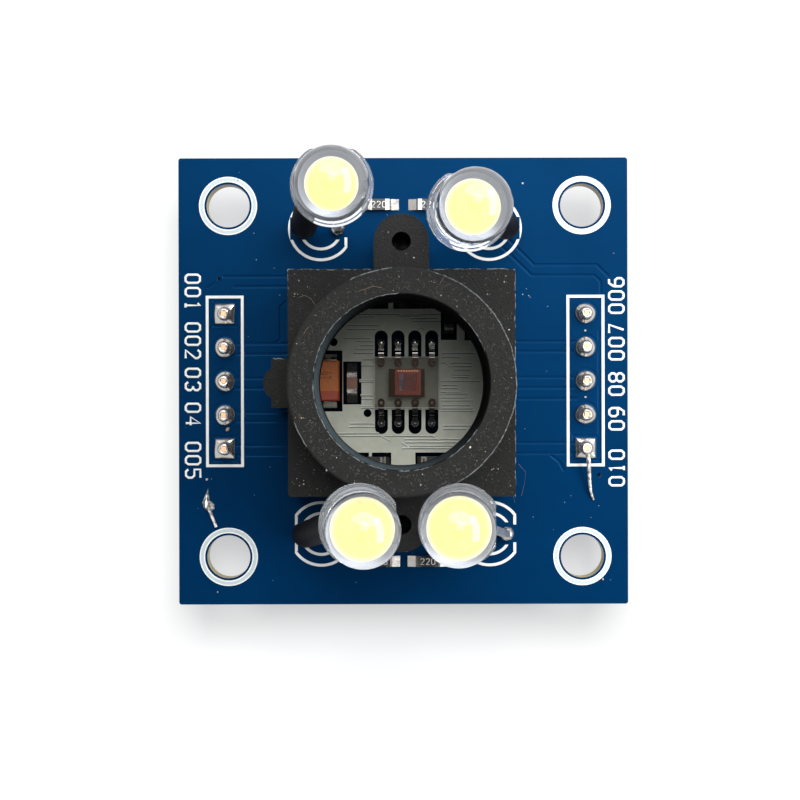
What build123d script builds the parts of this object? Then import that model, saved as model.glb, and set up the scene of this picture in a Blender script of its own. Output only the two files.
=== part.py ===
"""Light-to-frequency color sensor module on a 34 mm square circuit board.

Frame: the origin is the centre of the four mounting holes on the underside of
the board, +X to the right and +Y up as the parts are read, +Z out of the side
that carries the sensor. All sizes are in millimetres.
"""
from build123d import *
import math
import os

os.makedirs("parts", exist_ok=True)

# Board: blue glass-epoxy laminate, every hole drilled from above
pitch = 2.54
board_w, board_d, board_t = 33.9, 33.7, 1.6
board_x = -0.15
board_corner_r = 0.2
mount_gap_x, mount_gap_y = 26.7, 26.5
mount_hole_d = 3.25
pin_hole_d = 1.0
led_hole_d = 0.9

# Gaps in the copper: grooves with sloping sides beside the tracks and round the header pads
gap_w, gap_floor_w, gap_depth = 0.28, 0.12, 0.04
halo_r = 0.9
block_left, block_right = -8.42, 7.86
pad_tracks = {
    "left": {2: (2.84, 2.05), 3: (0.23, -0.54), 4: (-2.36, -3.03), 5: (-4.84, -5.58)},
    "right": {2: (2.96, 2.2), 3: (0.25, -0.53), 5: (-4.68, -5.48)},
}
gap_routes = [
    [(-13.8, 7.91), (block_left, 7.91)],
    [(-12.97, 7.15), (block_left, 7.15)],
    [(-14.95, 6.98), (-14.26, 7.52)],
    [(-8.95, 6.05), (-9.4, 5.6), (-9.4, 3.2), (-9.72, 2.88)],
    [(block_right, -1.36), (13.05, -1.36)],
    [(7.8, 10.7), (9.75, 8.74), (14.47, 8.74), (15.4, 7.83)],
    [(7.24, 10.2), (9.57, 7.95), (14.26, 7.95), (14.77, 7.48), (14.77, 6.6)],
    [(14.64, 3.7), (14.64, -6.1)],
    [(10.95, -5.6), (11.6, -6.1), (11.98, -6.8)],
]
small_via_r, small_via_depth = 0.15, 0.3
small_vias = [(-14.05, 7.73), (14.63, -7.13)]

# Pin headers: five ways each side, pins down, soldered on the top face
header_x = 13.62
header_ways = 5
housing_w, housing_h = 2.5, 2.5
pin_side = 0.64
pin_low, pin_high = -8.6, board_t + 1.05
pin_chamfer = 0.16

# Lens holder: moulded block, tube and two screw ears on one centre
holder_x, holder_y = -0.28, -0.23
holder_side, holder_block_h = 16.05, 8.65
holder_corner_r = 0.25
tube_d, holder_h = 15.7, 13.0
lens_bore_d, bore_lead_in = 12.0, 0.1
cavity_side, cavity_h = 13.3, 3.3
ear_gap, ear_w = 20.0, 3.9
ear_hole_d = 1.35
rim_chamfer = 0.12
cavity_corner_r = 0.6
boss_w, boss_out = 3.5, 1.06
gate_w, gate_out = 2.05, 0.68

# Two self-tapping screws that hold the lens holder from below
screw_d, screw_grip = 1.7, 5.0
screw_head_d, screw_head_h = 3.3, 1.1
screw_clear_d = 2.0
drive_l, drive_w, drive_depth = 1.7, 0.36, 0.6

# LEDs: 5 mm round heads that stand on their legs above the tube
led_x, led_y = 6.35, 11.53
leg_gap = 2.54
leg_side = 0.5
leg_drop = 0.7
knee_z = board_t + 0.9
leg_bend_r = 0.7
neck_h = 0.6
leg_in_head = 2.2
flange_d, flange_t, flange_flat = 5.65, 1.0, 2.42
bulb_d, bulb_h = 4.9, 8.6
head_z = board_t + 13.3
cup_wall, cup_top, cup_h, cup_depth = 0.17, 5.0, 0.85, 0.5
frame_low, post_top, post_gap = 2.0, 5.15, 0.05
phosphor_slope, phosphor_crown = 0.32, 0.12
sleeve_d, sleeve_bore_d = 2.0, 0.72
sleeve_low_gap, sleeve_high_gap = 0.55, 0.4

# Each LED: corner of the board, head centre, lean, sides of the flat and the sleeve, width of the phosphor
leds = {
    "top_left": {
        "foot": (-1, 1), "head": (-4.98, 13.13), "lean": (0.03, -0.10),
        "flat": 1, "sleeve": -1, "phosphor": 1.7,
    },
    "top_right": {
        "foot": (1, 1), "head": (4.21, 11.42), "lean": (0.045, -0.055),
        "flat": 1, "sleeve": 1, "phosphor": 1.75,
    },
    "bottom_left": {
        "foot": (-1, -1), "head": (-3.14, -9.87), "lean": (0.06, 0.0),
        "flat": 1, "sleeve": -1, "phosphor": 2.0,
    },
    "bottom_right": {
        "foot": (1, -1), "head": (3.66, -9.9), "lean": (-0.05, 0.015),
        "flat": 1, "sleeve": -1, "phosphor": 2.0,
    },
}

# Solder: tinned pad, cone round the wire, barrel in the hole
pad_t = 0.06
header_pad_r, header_wet_r = 0.76, 0.66
header_cone_r, header_cone_h, header_cone_curve = 0.34, 0.95, 1.4
led_pad_r, led_flat_pad_r = 0.8, 0.64
led_cone_r, led_cone_h, led_cone_curve = 0.4, 0.85, 1.3
led_bead_r, led_bead_h = 0.36, 0.55

# Light sensor: clear eight-lead package
sensor_x, sensor_y = 0.1, -0.15
package_w, package_d, package_t = 4.9, 3.9, 1.4
package_lift = 0.12
package_draft = 6
lead_w, lead_t = 0.42, 0.2
lead_span, lead_foot, lead_root = 6.0, 0.55, 1.6
lead_slope, lead_bend_r = 0.1, 0.14
lead_gap = 1.27
finger_y, finger_l, finger_w = 1.5, 0.66, 0.54
anchor_hole_d = 0.24
paddle_w, paddle_d = 2.7, 2.1
die_side, die_t = 1.92, 0.3
die_shift_x, die_shift_y = 0.1, 0.05

# Print on the board: line widths and keep-out windows
print_t = 0.03
ring_outer_r, ring_inner_r = 2.2, 1.79
print_line = 0.21
header_box_w, header_box_d = 2.86, 12.95
led_ring_r, led_arc_r, led_ring_flat = 2.37, 1.55, 2.0
led_arc_gap = 1.7
flat_line_l, flat_line_gap = 2.6, 1.36
field_r = 6.5
lead_window_w = 0.98
lead_window_spans = [(1.78, 3.82), (-4.0, -2.16)]
chip_windows = [
    (-2.46, 5.9, 2.37, 0.9),
    (0.9, 5.9, 3.58, 0.9),
    (3.3, 4.75, 1.2, 3.3),
    (4.8, 3.68, 0.6, 1.24),
    (-2.4, -6.2, 2.66, 1.02),
    (-3.2, -5.6, 0.9, 0.4),
    (-1.8, -5.6, 1.46, 0.4),
    (2.1, -6.05, 2.7, 1.3),
]
via_r = 0.3
vias = [(-5.4, 2.95), (-2.85, -2.42)]

# Chip parts: centre, length, width, height and whether they lie along X
tantalum_at, tantalum_size = (-5.74, 0.01), (3.0, 1.6, 1.55)
tantalum_strip_t, tantalum_strip_w, tantalum_strip_h = 0.12, 1.2, 0.95
tantalum_under, tantalum_fillet_l, tantalum_fillet_h = 0.7, 0.6, 0.75
tantalum_edge = 0.1
tantalum_window = (2.0, 4.6)
ceramic_at, ceramic_size = (-4.0, -0.14), (1.5, 0.78, 0.75)
ceramic_fillet_l, ceramic_window = 0.75, (1.38, 3.24)
chip_l, chip_w, chip_h = 1.6, 0.82, 0.45
cap_l = 0.3
fillet_l = 0.72
inner_chip_w, inner_fillet_l = 0.7, 0.4
led_resistors = {
    "top_left": (-1.97, 13.3),
    "top_right": (1.79, 13.3),
    "bottom_left": (-1.94, -13.6),
    "bottom_right": (1.67, -13.6),
}
inner_chips = {
    "top": {"at": (0.5, 5.9), "along_x": True},
    "right": {"at": (3.3, 4.75), "along_x": False},
    "bottom_left": {"at": (-2.4, -6.07), "along_x": True},
    "bottom_right": {"at": (2.1, -6.05), "along_x": True},
}


def save(builder, name):
    """Labels a finished piece and writes it."""
    builder.part.label = name
    export_step(builder.part, f"parts/{name}.step")


def upright(x, y):
    """Plane that stands on the point (x, y), with its own Y axis along +Z."""
    return Plane(origin=(x, y, 0), x_dir=(1, 0, 0), z_dir=(0, -1, 0))


def is_square(side, way):
    """Tells whether a header pad is square."""
    return way == header_ways or (way == 1 and side == "left")


def cut_gap(route):
    """Cuts a groove along a route on the top of the board that is in the open builder."""
    with BuildLine() as path:
        Polyline(*[(x, y, board_t) for x, y in route])
    start, ahead = path.line @ 0, path.line % 0
    with BuildSketch(Plane(origin=start, x_dir=(ahead.Y, -ahead.X, 0), z_dir=ahead)) as profile:
        with BuildLine():
            Polyline(*gap_profile(0, 1), close=True)
        make_face()
    sweep(profile.sketch, path=path.line, transition=Transition.RIGHT, mode=Mode.SUBTRACT)


def cut_halo(x, y, start, arc):
    """Cuts a round groove about a pad, from an angle and over an arc in degrees."""
    run = (math.cos(math.radians(start)), math.sin(math.radians(start)), 0)
    across = (run[1], -run[0], 0)
    with BuildSketch(Plane(origin=(x, y, board_t), x_dir=run, z_dir=across)) as profile:
        with BuildLine():
            Polyline(*gap_profile(halo_r, -1), close=True)
        make_face()
    revolve(profile.sketch, axis=Axis((x, y, 0), (0, 0, 1)), revolution_arc=arc, mode=Mode.SUBTRACT)


def gap_profile(centre, down):
    """Section of a groove as wide as gap_w at the surface, which also reaches as far above it as below."""
    wide, narrow = gap_w - gap_floor_w / 2, gap_floor_w / 2
    return [
        (centre - wide, -down * gap_depth),
        (centre + wide, -down * gap_depth),
        (centre + narrow, down * gap_depth),
        (centre - narrow, down * gap_depth),
    ]


holder_foot = Plane(origin=(holder_x, holder_y, board_t))
pin_ys = [pitch * (2 - way) for way in range(header_ways)]
led_feet = []
for led in leds.values():
    sx, sy = led["foot"]
    led["print_flat"] = -sx * sy
    for leg in (-1, 1):
        led_feet.append((sx * led_x + leg * leg_gap / 2, sy * led_y))
ear_holes = [(holder_x, holder_y - ear_gap / 2), (holder_x, holder_y + ear_gap / 2)]

# Board
with BuildPart() as board:
    with BuildSketch():
        with Locations((board_x, 0)):
            RectangleRounded(board_w, board_d, board_corner_r)
        with GridLocations(mount_gap_x, mount_gap_y, 2, 2):
            Circle(mount_hole_d / 2, mode=Mode.SUBTRACT)
        with GridLocations(2 * header_x, pitch, 2, header_ways):
            Circle(pin_hole_d / 2, mode=Mode.SUBTRACT)
        with Locations(*led_feet):
            Circle(led_hole_d / 2, mode=Mode.SUBTRACT)
        with Locations(*ear_holes):
            Circle(screw_clear_d / 2, mode=Mode.SUBTRACT)
    extrude(amount=board_t)
    for route in gap_routes:
        cut_gap(route)
    for side, sign in (("left", -1), ("right", 1)):
        x = sign * header_x
        edge = block_left if side == "left" else block_right
        for way, y in enumerate(pin_ys, start=1):
            track = pad_tracks[side].get(way)
            if track is None and is_square(side, way):
                cut_gap([(x - sign * halo_r, y + halo_r), (x + sign * halo_r, y + halo_r)])
                cut_gap([(x - sign * halo_r, y - halo_r), (x + sign * halo_r, y - halo_r)])
                cut_gap([(x - sign * halo_r, y - halo_r), (x - sign * halo_r, y + halo_r)])
                cut_gap([(x + sign * halo_r, y - halo_r), (x + sign * halo_r, y + halo_r)])
            elif track is None:
                cut_halo(x, y, 0, 360)
            elif is_square(side, way):
                near, far = x - sign * halo_r, x + sign * halo_r
                cut_gap([(edge, track[0]), (near, track[0]), (near, y + halo_r), (far, y + halo_r), (far, y)])
                cut_gap([(edge, track[1]), (near, track[1]), (near, y - halo_r), (far, y - halo_r), (far, y)])
            else:
                upper = math.degrees(math.asin((track[0] - y) / halo_r))
                lower = math.degrees(math.asin((track[1] - y) / halo_r))
                start = upper if side == "left" else 180 - lower
                cut_halo(x, y, start, 360 - (upper - lower))
                for track_y in track:
                    near = x - sign * math.sqrt(halo_r ** 2 - (track_y - y) ** 2)
                    cut_gap([(edge, track_y), (near, track_y)])
    with BuildSketch(Plane.XY.offset(board_t)):
        with Locations(*small_vias):
            Circle(small_via_r)
    extrude(amount=-small_via_depth, mode=Mode.SUBTRACT)
save(board, "board")

# Print: rings, header boxes, LED outlines and the white field under the sensor
with BuildPart() as silkscreen:
    with BuildSketch(Plane.XY.offset(board_t)):
        with GridLocations(mount_gap_x, mount_gap_y, 2, 2):
            Circle(ring_outer_r)
            Circle(ring_inner_r, mode=Mode.SUBTRACT)
        with Locations((-header_x, 0), (header_x, 0)):
            Rectangle(header_box_w, header_box_d)
            Rectangle(header_box_w - 2 * print_line, header_box_d - 2 * print_line, mode=Mode.SUBTRACT)
    extrude(amount=print_t)
    for led in leds.values():
        centre_x, centre_y = led["foot"][0] * led_x, led["foot"][1] * led_y
        with BuildSketch(Plane.XY.offset(board_t)):
            with Locations((centre_x, centre_y)):
                Circle(led_ring_r + print_line / 2)
                Circle(led_ring_r - print_line / 2, mode=Mode.SUBTRACT)
            with Locations((centre_x + led["print_flat"] * (led_ring_flat + led_ring_r), centre_y)):
                Rectangle(2 * led_ring_r, 3 * led_ring_r, mode=Mode.SUBTRACT)
            with Locations((centre_x, centre_y)):
                Circle(led_arc_r + print_line / 2)
                Circle(led_arc_r - print_line / 2, mode=Mode.SUBTRACT)
                Rectangle(3 * led_arc_r, led_arc_gap, mode=Mode.SUBTRACT)
        extrude(amount=print_t)
        with BuildSketch(Plane.XY.offset(board_t)):
            with Locations((centre_x + led["print_flat"] * (led_ring_flat - print_line / 2), centre_y)):
                Rectangle(print_line, flat_line_l)
                Rectangle(2 * print_line, flat_line_gap, mode=Mode.SUBTRACT)
        extrude(amount=print_t)
    with BuildSketch(Plane.XY.offset(board_t)):
        with Locations((holder_x, holder_y)):
            Circle(field_r)
        for low, high in lead_window_spans:
            outer = high - lead_window_w / 2 if high > 0 else low + lead_window_w / 2
            inner = low if high > 0 else high
            with Locations((sensor_x, outer)):
                with GridLocations(lead_gap, 1, 4, 1):
                    Circle(lead_window_w / 2, mode=Mode.SUBTRACT)
            with Locations((sensor_x, (outer + inner) / 2)):
                with GridLocations(lead_gap, 1, 4, 1):
                    Rectangle(lead_window_w, abs(outer - inner), mode=Mode.SUBTRACT)
        with Locations(tantalum_at):
            Rectangle(*tantalum_window, mode=Mode.SUBTRACT)
        with Locations(ceramic_at):
            Rectangle(*ceramic_window, mode=Mode.SUBTRACT)
        with Locations(*vias):
            Circle(via_r, mode=Mode.SUBTRACT)
        for x, y, width, depth in chip_windows:
            with Locations((x, y)):
                Rectangle(width, depth, mode=Mode.SUBTRACT)
    extrude(amount=print_t)
save(silkscreen, "silkscreen")

# Lens holder
with BuildPart() as lens_holder:
    with BuildSketch(holder_foot):
        RectangleRounded(holder_side, holder_side, holder_corner_r)
        SlotCenterToCenter(ear_gap, ear_w, rotation=90)
        with Locations((-(holder_side + boss_out) / 2, 0)):
            Rectangle(boss_out + 0.2, boss_w)
        with Locations((-(holder_side / 2 + boss_out), 0)):
            Ellipse(gate_out, gate_w / 2)
    extrude(amount=holder_block_h)
    with BuildSketch(holder_foot.offset(holder_block_h)):
        Circle(tube_d / 2)
    extrude(amount=holder_h - holder_block_h)
    with BuildSketch(holder_foot):
        RectangleRounded(cavity_side, cavity_side, cavity_corner_r)
    extrude(amount=cavity_h, mode=Mode.SUBTRACT)
    with BuildSketch(holder_foot.offset(cavity_h)):
        Circle(lens_bore_d / 2)
    extrude(amount=holder_h - cavity_h, mode=Mode.SUBTRACT)
    rim = lens_holder.edges().filter_by(GeomType.CIRCLE).group_by(Axis.Z)[-1].sort_by(SortBy.RADIUS)
    chamfer(rim[0], bore_lead_in)
    chamfer(rim[-1], rim_chamfer)
    with BuildSketch(holder_foot):
        with Locations((0, ear_gap / 2), (0, -ear_gap / 2)):
            Circle(screw_d / 2)
    extrude(amount=screw_grip, mode=Mode.SUBTRACT)
    with BuildSketch(holder_foot.offset(screw_grip)):
        with Locations((0, ear_gap / 2), (0, -ear_gap / 2)):
            Circle(ear_hole_d / 2)
    extrude(amount=holder_block_h - screw_grip, mode=Mode.SUBTRACT)
save(lens_holder, "lens_holder")

# Screws
with BuildPart() as holder_screws:
    with BuildSketch(Plane.XY.offset(-screw_head_h)):
        with Locations(*ear_holes):
            Circle(screw_head_d / 2)
    extrude(amount=screw_head_h)
    fillet(holder_screws.edges().group_by(Axis.Z)[0], screw_head_h * 0.6)
    with BuildSketch():
        with Locations(*ear_holes):
            Circle(screw_d / 2)
    extrude(amount=board_t + screw_grip)
    with BuildSketch(Plane.XY.offset(-screw_head_h)):
        with Locations(*ear_holes):
            Rectangle(drive_l, drive_w)
            Rectangle(drive_w, drive_l)
    extrude(amount=drive_depth, mode=Mode.SUBTRACT)
save(holder_screws, "holder_screws")

# Pin headers
header_pins = {"left": [], "right": []}
for side, sign in (("left", -1), ("right", 1)):
    x = sign * header_x
    for way, y in enumerate(pin_ys, start=1):
        with BuildPart() as pin:
            with BuildSketch(Plane(origin=(x, y, pin_low))):
                Rectangle(pin_side, pin_side)
            extrude(amount=pin_high - pin_low)
            ends = pin.edges().group_by(Axis.Z)
            chamfer(ends[0] + ends[-1], pin_chamfer)
        save(pin, f"header_{side}_pin_{way}")
        header_pins[side].append(pin.part)
    with BuildPart() as housing:
        with BuildSketch(Plane(origin=(x, 0, -housing_h))):
            Rectangle(housing_w, header_ways * pitch)
            with GridLocations(housing_w, pitch, 2, header_ways + 1):
                Rectangle(0.55, 0.55, rotation=45, mode=Mode.SUBTRACT)
            with GridLocations(0, pitch, 1, header_ways):
                Rectangle(pin_side, pin_side, mode=Mode.SUBTRACT)
        extrude(amount=housing_h)
    save(housing, f"header_{side}_housing")
    joint_top = board_t + header_cone_h
    with BuildPart() as joints:
        for way, y in enumerate(pin_ys, start=1):
            with BuildSketch(upright(x, y)):
                with BuildLine():
                    Polyline(
                        (0, 0),
                        (pin_hole_d / 2, 0),
                        (pin_hole_d / 2, board_t),
                        (header_wet_r, board_t),
                        (header_wet_r, board_t + pad_t),
                    )
                    RadiusArc((header_wet_r, board_t + pad_t), (header_cone_r, joint_top), -header_cone_curve)
                    Polyline((header_cone_r, joint_top), (0, joint_top), (0, 0))
                make_face()
            revolve(axis=Axis((x, y, 0), (0, 0, 1)))
            with BuildSketch(Plane(origin=(x, y, board_t))):
                if is_square(side, way):
                    Rectangle(2 * header_pad_r, 2 * header_pad_r)
                else:
                    Circle(header_pad_r)
            extrude(amount=pad_t)
        for pin_solid in header_pins[side]:
            add(pin_solid, mode=Mode.SUBTRACT)
    save(joints, f"header_{side}_solder")

# LEDs
led_legs = []
for name, led in leds.items():
    foot_x, foot_y = led["foot"][0] * led_x, led["foot"][1] * led_y
    axis = Vector(led["lean"][0], led["lean"][1], 1).normalized()
    phosphor_r = led["phosphor"] / 2
    floor_r = phosphor_r - phosphor_slope
    crown_r = (phosphor_r ** 2 + phosphor_crown ** 2) / (2 * phosphor_crown)
    head = Plane(origin=(*led["head"], head_z), x_dir=(1, 0, -led["lean"][0]), z_dir=axis)
    section = Plane(origin=head.origin, x_dir=head.x_dir, z_dir=-head.y_dir)
    for part_name, leg in (("cathode", led["flat"]), ("anode", -led["flat"])):
        leg_x = leg * leg_gap / 2
        top = head.from_local_coords(Vector(leg_x, 0, leg_in_head))
        neck = head.from_local_coords(Vector(leg_x, 0, -neck_h))
        with BuildPart() as wire:
            with BuildLine() as route:
                FilletPolyline(
                    (foot_x + leg_x, foot_y, -leg_drop),
                    (foot_x + leg_x, foot_y, knee_z),
                    neck,
                    top,
                    radius=leg_bend_r,
                )
            with BuildSketch(Plane(origin=route.line @ 0, z_dir=(0, 0, 1))):
                Rectangle(leg_side, leg_side)
            sweep(path=route.line)
            with BuildSketch(section):
                if part_name == "cathode":
                    with BuildLine():
                        Polyline(
                            (leg_x + leg * leg_side / 2, frame_low),
                            (leg_x + leg * leg_side / 2, frame_low + 0.9),
                            (leg * 0.8, cup_top - cup_depth),
                            (-leg * 0.7, cup_top - cup_depth),
                            (-leg * 0.7, cup_top - cup_h),
                            (leg * 0.3, frame_low + 0.3),
                            (leg_x - leg * leg_side / 2, frame_low),
                            close=True,
                        )
                    make_face()
                else:
                    with BuildLine():
                        Polyline(
                            (leg_x + leg * leg_side / 2, frame_low),
                            (leg_x + leg * 0.3, post_top - 0.4),
                            (leg_x + leg * post_gap, post_top),
                            (leg_x + leg * post_gap, frame_low + 1.1),
                            (leg_x - leg * 0.5, frame_low + 0.6),
                            (leg_x - leg * leg_side / 2, frame_low),
                            close=True,
                        )
                    make_face()
            extrude(amount=leg_side / 2, both=True)
            if part_name == "cathode":
                with BuildSketch(head.offset(cup_top - cup_h)):
                    Circle(phosphor_r + cup_wall)
                extrude(amount=cup_h)
                with BuildSketch(section):
                    with BuildLine():
                        Polyline(
                            (0, cup_top - cup_depth),
                            (floor_r, cup_top - cup_depth),
                            (phosphor_r, cup_top),
                            (0, cup_top),
                            close=True,
                        )
                    make_face()
                revolve(axis=Axis(head.origin, axis), mode=Mode.SUBTRACT)
        save(wire, f"led_{name}_{part_name}")
        led_legs.append(wire.part)
        led[part_name] = wire.part
    with BuildPart() as phosphor:
        with BuildSketch(section):
            with BuildLine():
                Polyline(
                    (0, cup_top + phosphor_crown),
                    (0, cup_top - cup_depth),
                    (floor_r, cup_top - cup_depth),
                    (phosphor_r, cup_top),
                )
                RadiusArc((phosphor_r, cup_top), (0, cup_top + phosphor_crown), -crown_r)
            make_face()
        revolve(axis=Axis(head.origin, axis))
    save(phosphor, f"led_{name}_phosphor")
    with BuildPart() as bulb:
        shoulder = bulb_h - bulb_d / 2
        with BuildSketch(section):
            with BuildLine():
                Polyline(
                    (0, bulb_h),
                    (0, 0),
                    (flange_d / 2, 0),
                    (flange_d / 2, flange_t),
                    (bulb_d / 2, flange_t),
                    (bulb_d / 2, shoulder),
                )
                RadiusArc((bulb_d / 2, shoulder), (0, bulb_h), -bulb_d / 2)
            make_face()
        revolve(axis=Axis(head.origin, axis))
        with BuildSketch(head):
            with Locations((led["flat"] * (flange_flat + flange_d / 2), 0)):
                Rectangle(flange_d, 2 * flange_d)
        extrude(amount=flange_t, mode=Mode.SUBTRACT)
        add(led["cathode"], mode=Mode.SUBTRACT)
        add(led["anode"], mode=Mode.SUBTRACT)
        add(phosphor.part, mode=Mode.SUBTRACT)
    save(bulb, f"led_{name}_lens")
    leg_x = led["sleeve"] * leg_gap / 2
    low = Vector(foot_x + leg_x, foot_y, knee_z)
    high = head.from_local_coords(Vector(leg_x, 0, -neck_h))
    along = (high - low).normalized()
    with BuildPart() as sleeve:
        with BuildSketch(Plane(origin=low + along * sleeve_low_gap, z_dir=along)):
            Circle(sleeve_d / 2)
            Circle(sleeve_bore_d / 2, mode=Mode.SUBTRACT)
        extrude(amount=(high - low).length - sleeve_low_gap - sleeve_high_gap)
    save(sleeve, f"led_{name}_sleeve")

# Solder of the LED legs: cone above, bead below
with BuildPart() as led_solder:
    for (x, y), leg in zip(led_feet, (-1, 1) * len(leds)):
        pad_r = led_flat_pad_r if leg * x * y < 0 else led_pad_r
        with BuildSketch(upright(x, y)):
            with BuildLine():
                Polyline(
                    (0, -led_bead_h),
                    (led_bead_r, -led_bead_h),
                    (pad_r, -pad_t),
                    (pad_r, 0),
                    (led_hole_d / 2, 0),
                    (led_hole_d / 2, board_t),
                    (pad_r, board_t),
                    (pad_r, board_t + pad_t),
                )
                RadiusArc((pad_r, board_t + pad_t), (led_cone_r, board_t + led_cone_h), -led_cone_curve)
                Polyline((led_cone_r, board_t + led_cone_h), (0, board_t + led_cone_h), (0, -led_bead_h))
            make_face()
        revolve(axis=Axis((x, y, 0), (0, 0, 1)))
    for leg in led_legs:
        add(leg, mode=Mode.SUBTRACT)
save(led_solder, "led_solder")

# Sensor: lead frame with its paddle, die, clear package
lead_xs = [sensor_x + lead_gap * (k - 1.5) for k in range(4)]
lead_mid_z = board_t + package_lift + package_t / 2
with BuildPart() as sensor_leads:
    for x in lead_xs:
        for end in (-1, 1):
            with BuildSketch(Plane(origin=(x, sensor_y, 0), x_dir=(0, end, 0), z_dir=(end, 0, 0))):
                with BuildLine():
                    FilletPolyline(
                        (lead_root, lead_mid_z),
                        (lead_span / 2 - lead_foot - lead_slope, lead_mid_z),
                        (lead_span / 2 - lead_foot, board_t + lead_t / 2),
                        (lead_span / 2, board_t + lead_t / 2),
                        radius=lead_bend_r,
                    )
                trace(line_width=lead_t)
            extrude(amount=lead_w / 2, both=True)
    with BuildSketch(Plane(origin=(sensor_x, sensor_y, lead_mid_z - lead_t / 2))):
        Rectangle(paddle_w, paddle_d)
        with GridLocations(lead_gap, 2 * finger_y, 4, 2):
            SlotOverall(finger_l, finger_w, rotation=90)
    extrude(amount=lead_t)
    with BuildSketch(Plane(origin=(sensor_x, sensor_y, lead_mid_z - lead_t / 2))):
        with GridLocations(lead_gap, 2 * finger_y, 4, 2):
            Circle(anchor_hole_d / 2)
    extrude(amount=lead_t, mode=Mode.SUBTRACT)
save(sensor_leads, "sensor_lead_frame")

with BuildPart() as sensor_die:
    with BuildSketch(Plane(origin=(sensor_x + die_shift_x, sensor_y + die_shift_y, lead_mid_z + lead_t / 2))):
        Rectangle(die_side, die_side)
    extrude(amount=die_t)
save(sensor_die, "sensor_die")

with BuildPart() as sensor_package:
    middle = Plane(origin=(sensor_x, sensor_y, lead_mid_z))
    with BuildSketch(middle):
        Rectangle(package_w, package_d)
    extrude(amount=package_t / 2, taper=package_draft)
    with BuildSketch(middle):
        Rectangle(package_w, package_d)
    extrude(amount=-package_t / 2, taper=package_draft)
    add(sensor_leads.part, mode=Mode.SUBTRACT)
    add(sensor_die.part, mode=Mode.SUBTRACT)
save(sensor_package, "sensor_package")

# Tantalum capacitor
tan_l, tan_w, tan_h = tantalum_size
with BuildPart() as tantalum_terminals:
    for end in (-1, 1):
        with BuildSketch(Plane(origin=(*tantalum_at, 0), x_dir=(0, end, 0), z_dir=(end, 0, 0))):
            with BuildLine():
                Polyline(
                    (tan_l / 2 - tantalum_under, board_t),
                    (tan_l / 2 + tantalum_fillet_l, board_t),
                    (tan_l / 2 + tantalum_strip_t, board_t + tantalum_fillet_h),
                    (tan_l / 2 + tantalum_strip_t, board_t + tantalum_strip_h),
                    (tan_l / 2, board_t + tantalum_strip_h),
                    (tan_l / 2, board_t + tantalum_strip_t),
                    (tan_l / 2 - tantalum_under, board_t + tantalum_strip_t),
                    close=True,
                )
            make_face()
        extrude(amount=tantalum_strip_w / 2, both=True)
save(tantalum_terminals, "tantalum_terminals")

with BuildPart() as tantalum_body:
    with BuildSketch(Plane(origin=(*tantalum_at, board_t + tantalum_strip_t))):
        Rectangle(tan_w, tan_l)
    extrude(amount=tan_h)
    chamfer(tantalum_body.edges().group_by(Axis.Z)[-1], tantalum_edge)
save(tantalum_body, "tantalum_body")


def chip_terminals(at, along_x, length, width, height, tail):
    """Adds both end caps of a chip part, each with its solder, to the open builder."""
    for end in (-1, 1):
        run = (end, 0, 0) if along_x else (0, end, 0)
        across = (0, -end, 0) if along_x else (end, 0, 0)
        with BuildSketch(Plane(origin=(*at, board_t), x_dir=run, z_dir=across)) as profile:
            with BuildLine():
                Polyline(
                    (length / 2 - cap_l, 0),
                    (length / 2 + tail, 0),
                    (length / 2 + tail, pad_t),
                    (length / 2 + 2 * pad_t, height * 0.55),
                    (length / 2, height * 0.9),
                    (length / 2, height),
                    (length / 2 - cap_l, height),
                    close=True,
                )
            make_face()
        extrude(profile.sketch, amount=width / 2, both=True)


def chip_body(at, along_x, length, width, height):
    """Adds the body between the two end caps of a chip part to the open builder."""
    with BuildSketch(Plane(origin=(*at, board_t))) as outline:
        if along_x:
            Rectangle(length - 2 * cap_l, width)
        else:
            Rectangle(width, length - 2 * cap_l)
    extrude(outline.sketch, amount=height)


# Ceramic capacitor beside the sensor
with BuildPart() as ceramic_terminals:
    chip_terminals(ceramic_at, False, *ceramic_size, ceramic_fillet_l)
save(ceramic_terminals, "ceramic_capacitor_terminals")
with BuildPart() as ceramic_body:
    chip_body(ceramic_at, False, *ceramic_size)
save(ceramic_body, "ceramic_capacitor_body")

# Series resistors of the LEDs
with BuildPart() as resistor_terminals:
    for at in led_resistors.values():
        chip_terminals(at, True, chip_l, chip_w, chip_h, fillet_l)
save(resistor_terminals, "resistor_terminals")
for name, at in led_resistors.items():
    with BuildPart() as resistor:
        chip_body(at, True, chip_l, chip_w, chip_h)
    save(resistor, f"resistor_{name}")

# Chip parts that the tube half hides
with BuildPart() as inner_terminals:
    for chip in inner_chips.values():
        chip_terminals(chip["at"], chip["along_x"], chip_l, inner_chip_w, chip_h, inner_fillet_l)
save(inner_terminals, "inner_chip_terminals")
for name, chip in inner_chips.items():
    with BuildPart() as inner_chip:
        chip_body(chip["at"], chip["along_x"], chip_l, inner_chip_w, chip_h)
    save(inner_chip, f"inner_chip_{name}")

# Bent clipping that stands on the last right-hand joint
tail_route = [
    (13.66, -5.35, board_t + 0.92, 0.17),
    (13.79, -6.37, board_t + 0.62, 0.16),
    (13.9, -7.9, board_t + 0.32, 0.13),
    (14.2, -9.0, board_t + 0.07, 0.07),
]
with BuildPart() as pin_tail:
    for k, (x, y, z, r) in enumerate(tail_route):
        ahead = tail_route[min(k + 1, len(tail_route) - 1)]
        behind = tail_route[max(k - 1, 0)]
        run = Vector(*ahead[:3]) - Vector(*behind[:3])
        with BuildSketch(Plane(origin=(x, y, z), x_dir=(1, 0, 0), z_dir=run)):
            Circle(r)
    loft()
    for solder_part in (joints.part, header_pins["right"][-1]):
        add(solder_part, mode=Mode.SUBTRACT)
save(pin_tail, "pin_tail")

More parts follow.
